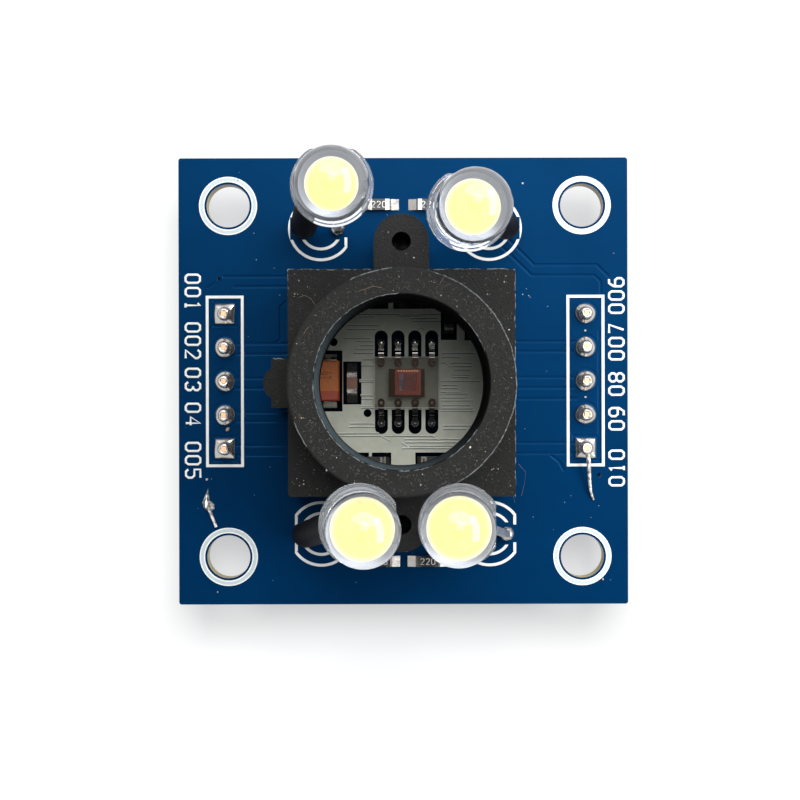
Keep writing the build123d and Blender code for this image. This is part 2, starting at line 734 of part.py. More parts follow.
# Stray clipping of solder and wire that is stuck to the board
with BuildPart() as clipping:
    with BuildSketch(Plane.XY.offset(board_t)):
        with BuildLine():
            Polyline((-14.84, -9.84), (-14.42, -9.62), (-14.46, -9.28), (-14.8, -8.98), (-14.9, -8.08))
            Polyline((-14.9, -8.08), (-15.36, -9.16), (-15.2, -9.62), (-14.84, -9.84))
        make_face()
    extrude(amount=0.34, taper=20)
    with BuildSketch(Plane(origin=(-14.92, -9.5, board_t + 0.12), x_dir=(1.4, 0.6, 0), z_dir=(0.6, -1.4, 0))):
        Rectangle(0.26, 0.24)
    extrude(amount=1.62)
save(clipping, "solder_clipping")
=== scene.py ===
"""Color sensor module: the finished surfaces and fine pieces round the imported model."""
import math
import random

import bmesh
import bpy
from mathutils import Matrix, Vector, geometry


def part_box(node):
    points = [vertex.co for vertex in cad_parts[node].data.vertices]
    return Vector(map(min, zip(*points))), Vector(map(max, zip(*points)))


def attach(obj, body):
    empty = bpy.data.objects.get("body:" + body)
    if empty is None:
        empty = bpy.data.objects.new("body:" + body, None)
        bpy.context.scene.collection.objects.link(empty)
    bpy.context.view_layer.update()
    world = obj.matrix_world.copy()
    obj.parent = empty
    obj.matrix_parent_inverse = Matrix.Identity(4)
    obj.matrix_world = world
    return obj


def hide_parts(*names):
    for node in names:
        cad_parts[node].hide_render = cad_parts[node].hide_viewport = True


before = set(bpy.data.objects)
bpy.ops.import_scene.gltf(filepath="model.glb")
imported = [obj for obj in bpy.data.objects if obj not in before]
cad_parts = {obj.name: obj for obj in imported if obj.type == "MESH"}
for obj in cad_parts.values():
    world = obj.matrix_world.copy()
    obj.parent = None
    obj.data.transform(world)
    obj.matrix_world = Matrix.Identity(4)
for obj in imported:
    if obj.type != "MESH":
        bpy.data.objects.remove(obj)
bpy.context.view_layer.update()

# Camera, lamps and floor
# The module stands on its pins on a white table and is seen from straight above. A long softbox on the
# right, a wide one behind and a small high one light it, so the holder shades its left side. A fourth
# lights the table alone, and a dark card hides the ceiling from the metals.
mm = 0.001
camera_place = Vector((-0.397, -1.435, 131.6)) * mm
camera_lens, camera_roll = 77.46, -0.13

camera = bpy.data.objects.new("camera", bpy.data.cameras.new("camera"))
camera.data.lens = camera_lens
camera.data.sensor_width = 36
camera.data.clip_start = 1 * mm
camera.location = camera_place
camera.rotation_euler = (0, 0, math.radians(camera_roll))
bpy.context.collection.objects.link(camera)
bpy.context.scene.camera = camera
bpy.context.scene.view_settings.view_transform = "Standard"


def add_lamp(name, place, size, power, shape="RECTANGLE"):
    """Adds a softbox that faces the module, its width level and its height across that."""
    lamp = bpy.data.objects.new(name, bpy.data.lights.new(name, "AREA"))
    lamp.data.shape = shape
    lamp.data.size, lamp.data.size_y = size
    lamp.data.energy = power
    lamp.location = place
    lamp.rotation_euler = (-Vector(place)).to_track_quat("-Z", "Y").to_euler()
    bpy.context.collection.objects.link(lamp)
    return lamp


softbox_right = add_lamp("softbox_right", (0.24, 0.03, 0.20), (0.42, 0.13), 1.4)
softbox_back = add_lamp("softbox_back", (0.04, 0.21, 0.26), (0.50, 0.26), 1.5, "ELLIPSE")
softbox_top = add_lamp("softbox_top", (0.02, 0.10, 0.37), (0.16, 0.16), 1.6)
softbox_high = add_lamp("softbox_high", (0.03, 0.10, 0.36), (0.16, 0.16), 0.36)


def linear(hex_code):
    """Turns an sRGB hex colour to linear RGBA."""
    parts = [int(hex_code[k:k + 2], 16) / 255 for k in (1, 3, 5)]
    return [p / 12.92 if p <= 0.04045 else ((p + 0.055) / 1.055) ** 2.4 for p in parts] + [1.0]


def plug(socket, value):
    """Fills a socket: with a number, with a hex colour, or with what a node or one output of it gives."""
    if isinstance(value, bpy.types.Node):
        value = next(output for output in value.outputs if output.enabled)
    if isinstance(value, bpy.types.NodeSocket):
        socket.id_data.links.new(value, socket)
    else:
        socket.default_value = linear(value) if isinstance(value, str) else value


def add_node(tree, kind, *values, **named):
    """Adds a shader node. Values fill its open sockets in order, or a socket named with a capital first
    letter; a name in small letters is one of the node's settings. Each Mix here blends colours."""
    node = tree.nodes.new("ShaderNode" + kind)
    if kind == "Mix":
        node.data_type = "RGBA"
    for name, value in named.items():
        if name[0].islower():
            setattr(node, name, value)
    for socket, value in zip([socket for socket in node.inputs if socket.enabled], values):
        plug(socket, value)
    for name, value in named.items():
        if name[0].isupper():
            plug(node.inputs[name], value)
    return node


def background_rays(tree):
    """Returns a node that is 1 for the rays that show the background: camera, mirror and glass rays."""
    rays = add_node(tree, "LightPath").outputs
    seen = add_node(tree, "Math", rays["Is Camera Ray"], rays["Is Glossy Ray"], operation="MAXIMUM")
    return add_node(tree, "Math", seen, rays["Is Transmission Ray"], operation="MAXIMUM")


# The room lights the module at a plain grey level, and shows white behind it and in its mirrors.
world = bpy.data.worlds.new("white_room")
world.use_nodes = True
bpy.context.scene.world = world
tree = world.node_tree
room = add_node(tree, "Mix", background_rays(tree), "#76797d", "#ffffff")
plug(tree.nodes["Background"].inputs["Color"], room)


def new_object(name, shape):
    """Makes a bmesh an object in the scene."""
    mesh = bpy.data.meshes.new(name)
    shape.to_mesh(mesh)
    shape.free()
    made = bpy.data.objects.new(name, mesh)
    bpy.context.collection.objects.link(made)
    return made


pin_tip_z, table_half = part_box("header_left_pin_1")[0][2], 1.5
floor_shape = bmesh.new()
bmesh.ops.create_grid(floor_shape, x_segments=1, y_segments=1, size=table_half)
bmesh.ops.translate(floor_shape, verts=floor_shape.verts, vec=(0, 0, pin_tip_z))
table = new_object("table_top", floor_shape)
# The table's laminate is matt, and it glows a little where it is seen, so that it stays white.
table_white = bpy.data.materials.new("white_table_laminate")
table_white.use_nodes = True
tree = table_white.node_tree
tree.nodes.clear()
matte = add_node(tree, "BsdfDiffuse", Color=(0.5, 0.5, 0.5, 1))
lift = add_node(tree, "Math", background_rays(tree), 0.5, operation="MULTIPLY")
glow = add_node(tree, "Emission", Color=(1, 1, 1, 1), Strength=lift)
both = add_node(tree, "AddShader", matte, glow)
add_node(tree, "OutputMaterial", Surface=both)
table.data.materials.append(table_white)
module_lamps = (softbox_right, softbox_back, softbox_high)
for lamps, state in (((softbox_top,), "INCLUDE"), (module_lamps, "EXCLUDE")):
    lit = bpy.data.collections.new(f"table_{state.lower()}d")
    lit.objects.link(table)
    lit.collection_objects[0].light_linking.link_state = state
    for lamp in lamps:
        lamp.light_linking.receiver_collection = lit

card_r, card_place = 0.22, (-0.02, -0.03, 0.45)
card_shape = bmesh.new()
bmesh.ops.create_circle(card_shape, cap_ends=True, segments=48, radius=card_r)
bmesh.ops.translate(card_shape, verts=card_shape.verts, vec=card_place)
card = new_object("dark_card", card_shape)
card.visible_camera = False
card.visible_diffuse = False
card.visible_shadow = False
card.visible_transmission = False
card_black = bpy.data.materials.new("black_card")
card_black.use_nodes = True
shader = card_black.node_tree.nodes["Principled BSDF"]
shader.inputs["Base Color"].default_value = (0.02, 0.02, 0.02, 1)
shader.inputs["Specular IOR Level"].default_value = 0
card.data.materials.append(card_black)


# Circuit board
# Glass-epoxy laminate, 1.6 mm thick, with a blue screen-coated solder mask on both faces. The mask gives
# soft clouds of blue, a little dust and pits, and a faint orange peel. Inside the holder's tube its colour
# is painted near-black as painted shade, and its shine is turned down. The sawn edges and hole walls
# show the plies of the bare laminate.
def new_material(name, sockets):
    """Starts a material, sets its shader's own sockets, and returns it with its tree and shader."""
    material = bpy.data.materials.new(name)
    material.use_nodes = True
    shader = material.node_tree.nodes["Principled BSDF"]
    for socket, value in sockets.items():
        plug(shader.inputs[socket], value)
    return material, material.node_tree, shader


def dress(node_name, material):
    """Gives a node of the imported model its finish."""
    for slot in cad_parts[node_name].material_slots:
        slot.material = material


def paint(shader, tone):
    """Gives a finish its colour, a hex code or what a node gives."""
    plug(shader.inputs["Base Color"], tone)


def corners_of(node_name):
    """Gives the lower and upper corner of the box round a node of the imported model."""
    return [Vector(corner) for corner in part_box(node_name)]


def add_tones(tree, first, second, size, contrast=None, roughness=0.5):
    """Blends two tones in soft patches of about the given size, which a contrast range makes crisper."""
    where = add_node(tree, "TexCoord").outputs["Object"]
    patches = add_node(tree, "TexNoise", where, 1 / size, 3.0, roughness)
    if contrast:
        patches = add_node(tree, "MapRange", patches, *contrast, 0.0, 1.0)
    return add_node(tree, "Mix", patches, first, second)


def add_specks(tree, ground, tone, spacing, radius, share):
    """Puts round specks on a ground: one cell in each spacing, and a share of the cells has one."""
    where = add_node(tree, "TexCoord").outputs["Object"]
    cells = add_node(tree, "TexVoronoi", Scale=1 / spacing, Vector=where, feature="F1")
    near = add_node(tree, "Math", cells.outputs["Distance"], radius / spacing, operation="LESS_THAN")
    split = add_node(tree, "SeparateColor", cells.outputs["Color"])
    chosen = add_node(tree, "Math", split, share, operation="LESS_THAN")
    speck = add_node(tree, "Math", near, chosen, operation="MULTIPLY")
    return add_node(tree, "Mix", speck, ground, tone)


def add_grain(tree, shader, size, depth, detail=3.0, roughness=0.5):
    """Gives a skin its relief: lumps of about the given size, as deep as said."""
    where = add_node(tree, "TexCoord").outputs["Object"]
    lumps = add_node(tree, "TexNoise", where, 1 / size, detail, roughness)
    plug(shader.inputs["Normal"], add_node(tree, "Bump", Height=lumps, Distance=depth))


board_low, board_high = corners_of("board")
holder_low, holder_high = corners_of("lens_holder")
board_top = board_high.z
bore_from_side, tube_foot_r = 8.025 * mm, 6.6 * mm
bore_x, bore_y = holder_high.x - bore_from_side, (holder_low.y + holder_high.y) / 2


def inside_tube(tree):
    """Returns a node that is 1 on the board inside the holder's tube."""
    where = add_node(tree, "TexCoord").outputs["Object"]
    from_bore = add_node(tree, "VectorMath", where, (bore_x, bore_y, board_top), operation="DISTANCE")
    return add_node(tree, "Math", from_bore, tube_foot_r, operation="LESS_THAN")


mask_blue, tree, shader = new_material(
    "solder_mask_on_glass_epoxy", {"Roughness": 0.34, "IOR": 1.5, "Specular Tint": "#3d8fd6"}
)
where = add_node(tree, "TexCoord").outputs["Object"]
blue = add_tones(tree, "#002040", "#002a4f", size=5 * mm)
dusty = add_specks(tree, blue, "#7d8f97", spacing=1.3 * mm, radius=0.035 * mm, share=0.35)
pitted = add_specks(tree, dusty, "#0a1c2b", spacing=2.1 * mm, radius=0.06 * mm, share=0.25)
glass_ply, level_from = 0.36 * mm, 0.6
plies = add_node(
    tree, "TexWave", Scale=1 / glass_ply, Distortion=1.5, Detail=2.0, Vector=where, bands_direction="Z"
)
laminate = add_node(tree, "Mix", plies.outputs["Fac"], "#b9a56f", "#8f8a55")
facing = add_node(tree, "SeparateXYZ", add_node(tree, "NewGeometry").outputs["True Normal"])
upright = add_node(tree, "Math", facing.outputs["Z"], operation="ABSOLUTE")
face = add_node(tree, "Math", upright, level_from, operation="GREATER_THAN")
shaded = inside_tube(tree)
# Painted shade: inside the tube the mask is painted near-black, and below its shine is turned down.
painted_tube_shade = add_node(tree, "Mix", shaded, pitted, "#020304")
finish = add_node(tree, "Mix", face, laminate, painted_tube_shade)
paint(shader, finish)
plug(shader.inputs["Specular IOR Level"], add_node(tree, "MapRange", shaded, 0, 1, 0.3, 0.04))
add_grain(tree, shader, size=0.7 * mm, depth=0.004 * mm, detail=2.0)
dress("board", mask_blue)

# Board print
# White epoxy ink, screen-printed on the mask and baked: rings, boxes, LED outlines and the field under
# the sensor. It is a matt off-white, warmer under the sensor and greyer along the middle of each ring.
# The tooth of the ink is much finer than a pixel, so it is drawn at 0.12 mm.
hole_x, hole_y = 13.35 * mm, 13.25 * mm
ring_middle_r, ring_thin_half = 1.995 * mm, 0.12 * mm
ink_white, tree, shader = new_material("screen_printed_epoxy_ink", {"Roughness": 0.5, "IOR": 1.5})
where = add_node(tree, "TexCoord").outputs["Object"]
thin = add_node(tree, "TexNoise", where, 1 / (0.5 * mm), 4.0)
ink = add_node(tree, "Mix", thin, "#d0d1cd", "#e8e8e4")
field_ink = add_node(tree, "Mix", thin, "#c3c6b6", "#dcdecd")
toned = add_node(tree, "Mix", inside_tube(tree), ink, field_ink)
quarter = add_node(tree, "VectorMath", where, operation="ABSOLUTE")
from_hole = add_node(tree, "VectorMath", quarter, (hole_x, hole_y, board_top), operation="DISTANCE")
in_ring = add_node(tree, "Math", from_hole, ring_middle_r, ring_thin_half, operation="COMPARE")
ringed = add_node(tree, "Mix", in_ring, toned, "#aebabd")
paint(shader, ringed)
add_grain(tree, shader, size=0.12 * mm, depth=0.006 * mm)
dress("silkscreen", ink_white)

# Pin numbers
# Two or three digits beside each pin in the same white ink, drawn with a round pen of one width.
# The left column reads downwards and the right column upwards.
digit_strokes = {
    "0": [[(1, 0), (3, 0), (4, 1), (4, 5), (3, 6), (1, 6), (0, 5), (0, 1), (1, 0)]],
    "1": [[(1, 5), (2, 6), (2, 0)], [(1, 0), (3, 0)]],
    "2": [[(0, 5), (1, 6), (3, 6), (4, 5), (4, 4), (0, 0), (4, 0)]],
    "3": [
        [(0, 5), (1, 6), (3, 6), (4, 5), (4, 4), (3, 3), (4, 2), (4, 1), (3, 0), (1, 0), (0, 1)],
        [(2, 3), (3, 3)],
    ],
    "4": [[(3, 0), (3, 6), (0, 2), (4, 2)]],
    "5": [[(4, 6), (0, 6), (0, 3.5), (3, 3.5), (4, 2.5), (4, 1), (3, 0), (1, 0), (0, 1)]],
    "6": [[(3.5, 6), (1.5, 6), (0, 4), (0, 1), (1, 0), (3, 0), (4, 1), (4, 2.5), (3, 3.5), (0, 3.5)]],
    "7": [[(0, 6), (4, 6), (1.5, 0)]],
    "8": [
        [(1, 0), (3, 0), (4, 1), (4, 2), (3, 3), (1, 3), (0, 2), (0, 1), (1, 0)],
        [(1, 3), (0, 4), (0, 5), (1, 6), (3, 6), (4, 5), (4, 4), (3, 3)],
    ],
    "9": [[(0.5, 0), (2.5, 0), (4, 2), (4, 5), (3, 6), (1, 6), (0, 5), (0, 3.5), (1, 2.5), (4, 2.5)]],
}


def add_strokes(shape, strokes, line, place=Matrix.Identity(4), flatness=1.0):
    """Adds round strokes through lists of points to a bmesh, flattened along Z and then put in place."""
    curve = bpy.data.curves.new("strokes", "CURVE")
    curve.dimensions = "3D"
    curve.bevel_depth = line / 2
    curve.bevel_resolution = 2
    curve.use_fill_caps = True
    for stroke in strokes:
        spline = curve.splines.new("POLY")
        spline.points.add(len(stroke) - 1)
        for point, spot in zip(spline.points, stroke):
            point.co = (*spot, 1)
    strokes = bpy.data.objects.new("strokes", curve)
    bpy.context.collection.objects.link(strokes)
    bpy.context.view_layer.update()
    mesh = bpy.data.meshes.new_from_object(strokes)
    bpy.data.objects.remove(strokes)
    part = bmesh.new()
    part.from_mesh(mesh)
    bmesh.ops.scale(part, verts=part.verts, vec=(1, 1, flatness))
    bmesh.ops.transform(part, verts=part.verts, matrix=place)
    part.to_mesh(mesh)
    part.free()
    shape.from_mesh(mesh)


def add_number(shape, text, cap, line, place):
    """Adds a number to a bmesh as flat inked strokes, centred on the origin and then put in place."""
    digit_high, digit_wide, digit_pitch = 6, 4, 6.5
    step, narrow, ink_rise = (cap - line) / digit_high, 0.85, 0.04 * mm
    middle_u, middle_v = ((len(text) - 1) * digit_pitch + digit_wide) / 2, digit_high / 2
    strokes = [
        [((k * digit_pitch + u - middle_u) * step * narrow, (v - middle_v) * step, 0) for u, v in stroke]
        for k, digit in enumerate(text)
        for stroke in digit_strokes[digit]
    ]
    add_strokes(shape, strokes, line, place, ink_rise / line)


def add_piece(name, shape, material, sharp_from=35):
    """Makes a bmesh a piece of the module, smooth where faces meet at less than the angle in degrees."""
    piece = new_object(name, shape)
    piece.data.materials.append(material)
    piece.data.shade_smooth()
    piece.data.set_sharp_from_angle(angle=math.radians(sharp_from))
    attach(piece, "root")
    return piece


label_cap, label_line, label_z = 1.26 * mm, 0.17 * mm, board_top + 0.012 * mm
label_columns = [
    (-16.03, -90, [("001", 6.75), ("002", 3.07), ("03", 0.15), ("04", -2.49), ("005", -5.95)]),
    (15.95, 90, [("006", 6.42), ("007", 2.9), ("08", -0.27), ("09", -2.89), ("010", -6.61)]),
]
numbers = bmesh.new()
for column_x, turn, labels in label_columns:
    for text, label_y in labels:
        place = Matrix.Translation((column_x * mm, label_y * mm, label_z))
        place @= Matrix.Rotation(math.radians(turn), 4, "Z")
        add_number(numbers, text, label_cap, label_line, place)
add_piece("pin_numbers", numbers, ink_white)

# Track relief
# Fine copper tracks under the white field, which lift the ink by a few hundredths of a millimetre.
# Each is drawn as a low rounded ridge with a painted highlight along its crest, and a thin line of painted
# shade just below it, on the side away from the lamps.
ridge_line, ridge_rise, flank_step = 0.1 * mm, 0.05 * mm, 0.075 * mm
straight_ridges = [
    (-3.55, 2.69, 5.1), (-3.47, -2.34, 4.92), (-0.43, 1.22, 4.98), (-4.33, -1.99, 4.27),
    (-4.42, -2.25, 3.97), (-4.68, -2.67, 3.28), (-3.73, -2.43, 3.06), (-3.38, -2.43, 2.75),
    (-3.73, -2.43, 2.45), (-3.9, -2.43, 2.15), (0.44, 2.43, 4.79), (0.61, 2.69, 4.58),
    (2.78, 5.2, 2.15), (2.78, 4.08, 1.84), (3.43, 5.02, 1.41), (3.56, 5.02, 1.15), (3.73, 4.94, 0.89),
    (3.64, 4.86, 0.5), (3.56, 4.77, 0.33), (2.69, 3.99, 0.13), (2.69, 5.64, 0.02), (2.78, 3.99, -0.28),
    (2.69, 3.9, -0.5), (2.69, 4.16, -0.8), (3.04, 4.68, -0.93), (2.69, 4.51, -1.23),
    (2.69, 5.12, -1.45), (2.78, 4.86, -1.8), (2.69, 5.12, -2.06), (2.69, 5.2, -2.23),
    (-3.2, -2.43, 1.67), (-3.3, -2.43, 1.19), (-3.47, -2.34, 0.11), (-3.47, -2.34, -0.02),
    (-3.38, -2.43, -1.06), (-3.3, -2.43, -1.32), (-3.38, -2.34, -1.88), (-3.38, -2.34, -2.01),
    (-4.16, -2.34, -3.18), (-4.25, -2.34, -3.44), (-5.12, -1.99, -3.92), (-5.02, 2.34, -4.12),
    (-0.09, 4.16, -4.37), (0.0, 3.99, -4.61), (0.26, 3.64, -4.87), (-0.26, 3.56, -5.05),
    (2.86, 5.0, -3.35), (2.86, 4.6, -3.6),
]
turned_ridges = [
    [(2.69, 1.41), (3.05, 1.41), (3.43, 1.07)], [(-1.8, -4.15), (-1.1, -4.5)],
    [(2.05, -4.12), (2.55, -4.45)], [(0.9, 3.95), (1.2, 4.1), (1.45, 3.95)],
    [(3.5, 0.72), (3.56, 0.5)], [(-0.3, -4.6), (0.3, -5.02)],
]
field_z = board_top + 0.03 * mm
ridges = [[(x1 * mm, y * mm, 0), (x2 * mm, y * mm, 0)] for x1, x2, y in straight_ridges]
ridges += [[(x * mm, y * mm, 0) for x, y in route] for route in turned_ridges]
relief = bmesh.new()
crest_place = Matrix.Translation((0, 0, field_z))
add_strokes(relief, ridges, ridge_line, crest_place, 2 * ridge_rise / ridge_line)
# Painted highlight: the crests are a brighter white than the ink of the field round them.
painted_crest_highlight, tree, shader = new_material("ink_with_painted_crest_highlight", {"Roughness": 0.45, "IOR": 1.5})
paint(shader, add_tones(tree, "#dfe0d4", "#f6f7ee", size=0.4 * mm))
add_piece("track_relief", relief, painted_crest_highlight)

# Painted shade: a thin dark grey line, set just below each ridge, on the side away from the lamps.
painted_flank_shade, tree, shader = new_material("ink_with_painted_shade_below_track", {"Roughness": 0.6, "IOR": 1.5})
paint(shader, add_tones(tree, "#3c3d39", "#84857e", size=0.3 * mm))
flanks = bmesh.new()
flank_place = Matrix.Translation((0, -flank_step, field_z))
flank_flatness = 0.4 * ridge_rise / ridge_line
add_strokes(flanks, ridges, ridge_line / 2, flank_place, flank_flatness)
add_piece("track_painted_shade_lines", flanks, painted_flank_shade)

# Lens holder
# One moulding in glass-filled black plastic: square block, round tube and two screw ears.
# Its skin is grey-black and grainy, with pale specks. The real grain of a few hundredths of a
# millimetre is too fine to show, so it is drawn at 0.11 and 0.16 mm. The bore's wall is painted a plain
# deep black, without specks, as painted shade, and its shine is turned down.
block_rise, tube_rise, bore_r = 8.65, 13.0, 6.03 * mm
holder_black, tree, shader = new_material(
    "moulded_glass_filled_black_plastic", {"Roughness": 0.6, "IOR": 1.5}
)
where = add_node(tree, "TexCoord").outputs["Object"]
base = add_tones(tree, "#030303", "#161614", size=0.11 * mm, contrast=(0.36, 0.64), roughness=0.7)
flecked = add_specks(tree, base, "#55534e", spacing=0.4 * mm, radius=0.04 * mm, share=0.3)
dusted = add_specks(tree, flecked, "#a39b8d", spacing=1.6 * mm, radius=0.06 * mm, share=0.22)
in_plan = add_node(tree, "VectorMath", where, (1, 1, 0), operation="MULTIPLY")
from_axis = add_node(tree, "VectorMath", in_plan, (bore_x, bore_y, 0), operation="DISTANCE")
in_bore = add_node(tree, "Math", from_axis, bore_r, operation="LESS_THAN")
# Painted shade: the wall of the bore is a plain deep black, and its shine is turned down.
painted_bore_shade = add_node(tree, "Mix", in_bore, dusted, "#040404")
paint(shader, painted_bore_shade)
plug(shader.inputs["Specular IOR Level"], add_node(tree, "MapRange", in_bore, 0, 1, 0.18, 0.02))
add_grain(tree, shader, size=0.16 * mm, depth=0.05 * mm, detail=4.0, roughness=0.6)
dress("lens_holder", holder_black)

# Thread of the bore
# The fine lens thread near the mouth, moulded in the same black plastic. The real turns, 0.5 mm apart,
# are too fine to show, so five are drawn further apart. Their colour is a painted bluish sheen, lightest
# towards the lower left, where the side light falls on the far wall, and black on the other side.
thread_black, tree, shader = new_material(
    "thread_with_painted_sheen", {"Roughness": 0.6, "IOR": 1.5, "Specular IOR Level": 0.05}
)
where = add_node(tree, "TexCoord").outputs["Object"]
painted_sheen = add_tones(tree, "#20272a", "#3b4549", size=0.8 * mm)
# Painted light: the thread turns from black to a lit bluish grey towards the lower left.
lit_side, sheen_start, sheen_full = (-0.75, -0.66, 0), -2 * mm, 5 * mm
toward = add_node(tree, "VectorMath", where, lit_side, operation="DOT_PRODUCT")
lit_share = add_node(tree, "MapRange", toward, sheen_start, sheen_full, 0.0, 1.0)
wear_and_sheen = add_node(tree, "Mix", lit_share, "#020202", painted_sheen)
paint(shader, wear_and_sheen)
crest_outline = [(6.02, -0.14), (5.9, -0.03), (5.9, 0.03), (6.02, 0.14)]
thread = bmesh.new()
for turn_z in (7.2, 8.7, 10.2, 11.5, 12.4):
    corners = [thread.verts.new((r * mm, 0, (turn_z + z) * mm)) for r, z in crest_outline]
    edges = [thread.edges.new(pair) for pair in zip(corners, corners[1:] + corners[:1])]
    bmesh.ops.spin(
        thread, geom=corners + edges, axis=(0, 0, 1), cent=(0, 0, 0),
        angle=math.tau, steps=120, use_merge=True,
    )
bmesh.ops.remove_doubles(thread, verts=thread.verts, dist=0.001 * mm)
bmesh.ops.recalc_face_normals(thread, faces=thread.faces)
bmesh.ops.translate(thread, verts=thread.verts, vec=(bore_x, bore_y, board_top))
add_piece("bore_thread", thread, thread_black)

# Moulding flash
# A thin fin of plastic stands along the mould's parting edges: the block's right and top edges,
# the rim of the tube and the mouth of the bore. It is torn, so its line wavers and breaks. Its grey,
# paler than the holder's, is a painted highlight for the light that these edges catch.
# Painted highlight: the fin is a paler grey than the holder, for the light its edges catch.
painted_edge_highlight, tree, shader = new_material("plastic_flash_with_painted_highlight", {"Roughness": 0.5, "IOR": 1.5})
grey = add_tones(tree, "#171919", "#6a7071", size=0.2 * mm, contrast=(0.4, 0.6))
paint(shader, grey)
random.seed(7)


def waver(amount):
    """Gives a random step of up to the amount to either side."""
    return random.uniform(-amount, amount) * mm


block_top, tube_top, half = board_top + block_rise * mm, holder_high.z, 8.0 * mm
ear_half = 2.2 * mm
flash_line, sunk = 0.07 * mm, 0.03 * mm
flash_lines = []
for start, end, parts in (
    ((half, -half), (half, half), 60),
    ((-half, half), (-ear_half, half), 22),
    ((ear_half, half), (half, half), 22),
    ((-half, 6.2 * mm), (-half, half), 8),
    ((-9.05 * mm, 1.72 * mm), (-half, 1.72 * mm), 6),
):
    flash_lines.append([
        (
            bore_x + start[0] + (end[0] - start[0]) * k / parts + waver(0.03),
            bore_y + start[1] + (end[1] - start[1]) * k / parts + waver(0.03),
            block_top - sunk + waver(0.02),
        )
        for k in range(parts + 1)
    ])
for radius, z, spans in (
    (7.8, tube_top - 0.05 * mm, ((-62, 75), (95, 118), (200, 214))),
    (6.06, tube_top - 0.06 * mm, ((92, 260), (300, 330), (20, 50), (268, 290))),
):
    for low, high in spans:
        angles = [math.radians(angle) for angle in range(low, high + 1, 2)]
        flash_lines.append([
            (
                bore_x + (radius * mm + waver(0.03)) * math.cos(angle),
                bore_y + (radius * mm + waver(0.03)) * math.sin(angle),
                z + waver(0.02),
            )
            for angle in angles
        ])
flash = bmesh.new()
add_strokes(flash, flash_lines, flash_line)
add_piece("moulding_flash_highlights", flash, painted_edge_highlight)

# Dust and fibres
# Crumbs of pale, dry household dust lie on the holder and the board, some at places of their own and
# the rest scattered. A few thin brown textile hairs lie across the block, the tube and the ears.
dust_pale, tree, shader = new_material("dry_dust_crumbs", {"Roughness": 0.9})
pale = add_tones(tree, "#7d6c54", "#dcd6cc", size=1.5 * mm, contrast=(0.35, 0.65))
paint(shader, pale)
axis_x, axis_y = bore_x / mm, bore_y / mm
crumbs = [
    (-7.09, -2.65, tube_rise, 0.08), (4.37, -4.66, tube_rise, 0.09), (-5.4, -6.2, tube_rise, 0.08),
    (-4.2, -7.9, block_rise, 0.07), (-7.2, -7.35, block_rise, 0.07), (-7.2, -7.1, block_rise, 0.05),
    (1.0, -7.2, tube_rise, 0.06), (-7.5, 7.0, block_rise, 0.06), (7.3, 3.5, block_rise, 0.05),
    (13.6, 3.78, 0.0, 0.1), (13.6, -1.24, 0.0, 0.1), (-13.42, -3.62, 0.0, 0.2), (8.9, 14.9, 0.0, 0.09),
    (3.9, 14.6, 0.0, 0.05), (-15.0, -7.4, 0.0, 0.12), (14.9, -15.0, 0.0, 0.08),
    (-12.6, 15.2, 0.0, 0.07), (-14.2, -15.9, 0.0, 0.07), (0.6, 8.6, block_rise, 0.05),
    (-1.2, 10.4, block_rise, 0.06),
]
for k in range(36):
    angle, radius = random.uniform(0, math.tau), random.uniform(6.25, 7.7)
    x, y = axis_x + radius * math.cos(angle), axis_y + radius * math.sin(angle)
    crumbs.append((x, y, tube_rise, random.uniform(0.02, 0.05)))
for k in range(22):
    x, y = (random.choice((-1, 1)) * random.uniform(5.9, 7.8) for side in "xy")
    crumbs.append((axis_x + x, axis_y + y, block_rise, random.uniform(0.02, 0.05)))
for k in range(60):
    x, y = random.uniform(-16.5, 16.3), random.uniform(-16.3, 16.3)
    if abs(x) > 8.8 or abs(y) > 12.5:
        crumbs.append((x, y, 0.0, random.uniform(0.02, 0.045)))
dust = bmesh.new()
for x, y, rise, size in crumbs:
    crumb = bmesh.ops.create_icosphere(dust, subdivisions=1, radius=size * mm)
    bmesh.ops.scale(dust, verts=crumb["verts"], vec=(1, random.uniform(0.6, 1.0), 0.6))
    turn = Matrix.Rotation(random.uniform(0, math.tau), 3, "Z")
    bmesh.ops.rotate(dust, verts=crumb["verts"], cent=(0, 0, 0), matrix=turn)
    crumb_place = Vector((x, y, rise + 0.3 * size)) * mm + Vector((0, 0, board_top))
    bmesh.ops.translate(dust, verts=crumb["verts"], vec=crumb_place)
add_piece("dust_crumbs", dust, dust_pale)

dust_brown, tree, shader = new_material("dry_brown_fibre", {"Roughness": 0.7})
paint(shader, add_tones(tree, "#4a3a2c", "#85735f", size=0.8 * mm))
hair_thick = 0.025 * mm
hairs = bmesh.new()
hair_lines = [
    [(-7.55, 5.8, 8.7), (-7.1, 5.95, 8.72), (-6.7, 5.75, 8.8), (-6.45, 5.4, 8.72), (-6.35, 5.2, 8.7)],
    [(-3.2, 5.95, 13.05), (-2.2, 6.3, 13.1), (-1.6, 6.2, 13.05)],
    [(-6.9, 3.1, 13.05), (-6.75, 3.4, 13.05), (-6.55, 3.55, 13.08)],
    [(7.9, -7.0, 6.5), (8.1, -7.6, 4.0), (8.0, -8.3, 1.5), (8.25, -9.2, 0.1)],
    [(8.2, -6.1, 5.0), (8.9, -6.8, 2.5), (8.95, -7.7, 0.6), (8.75, -8.7, 0.1)],
    [(2.3, 6.4, 13.05), (2.6, 6.9, 13.05)],
]
hair_lines = [[(x * mm, y * mm, board_top + z * mm) for x, y, z in line] for line in hair_lines]
add_strokes(hairs, hair_lines, hair_thick)
add_piece("hairs", hairs, dust_brown)

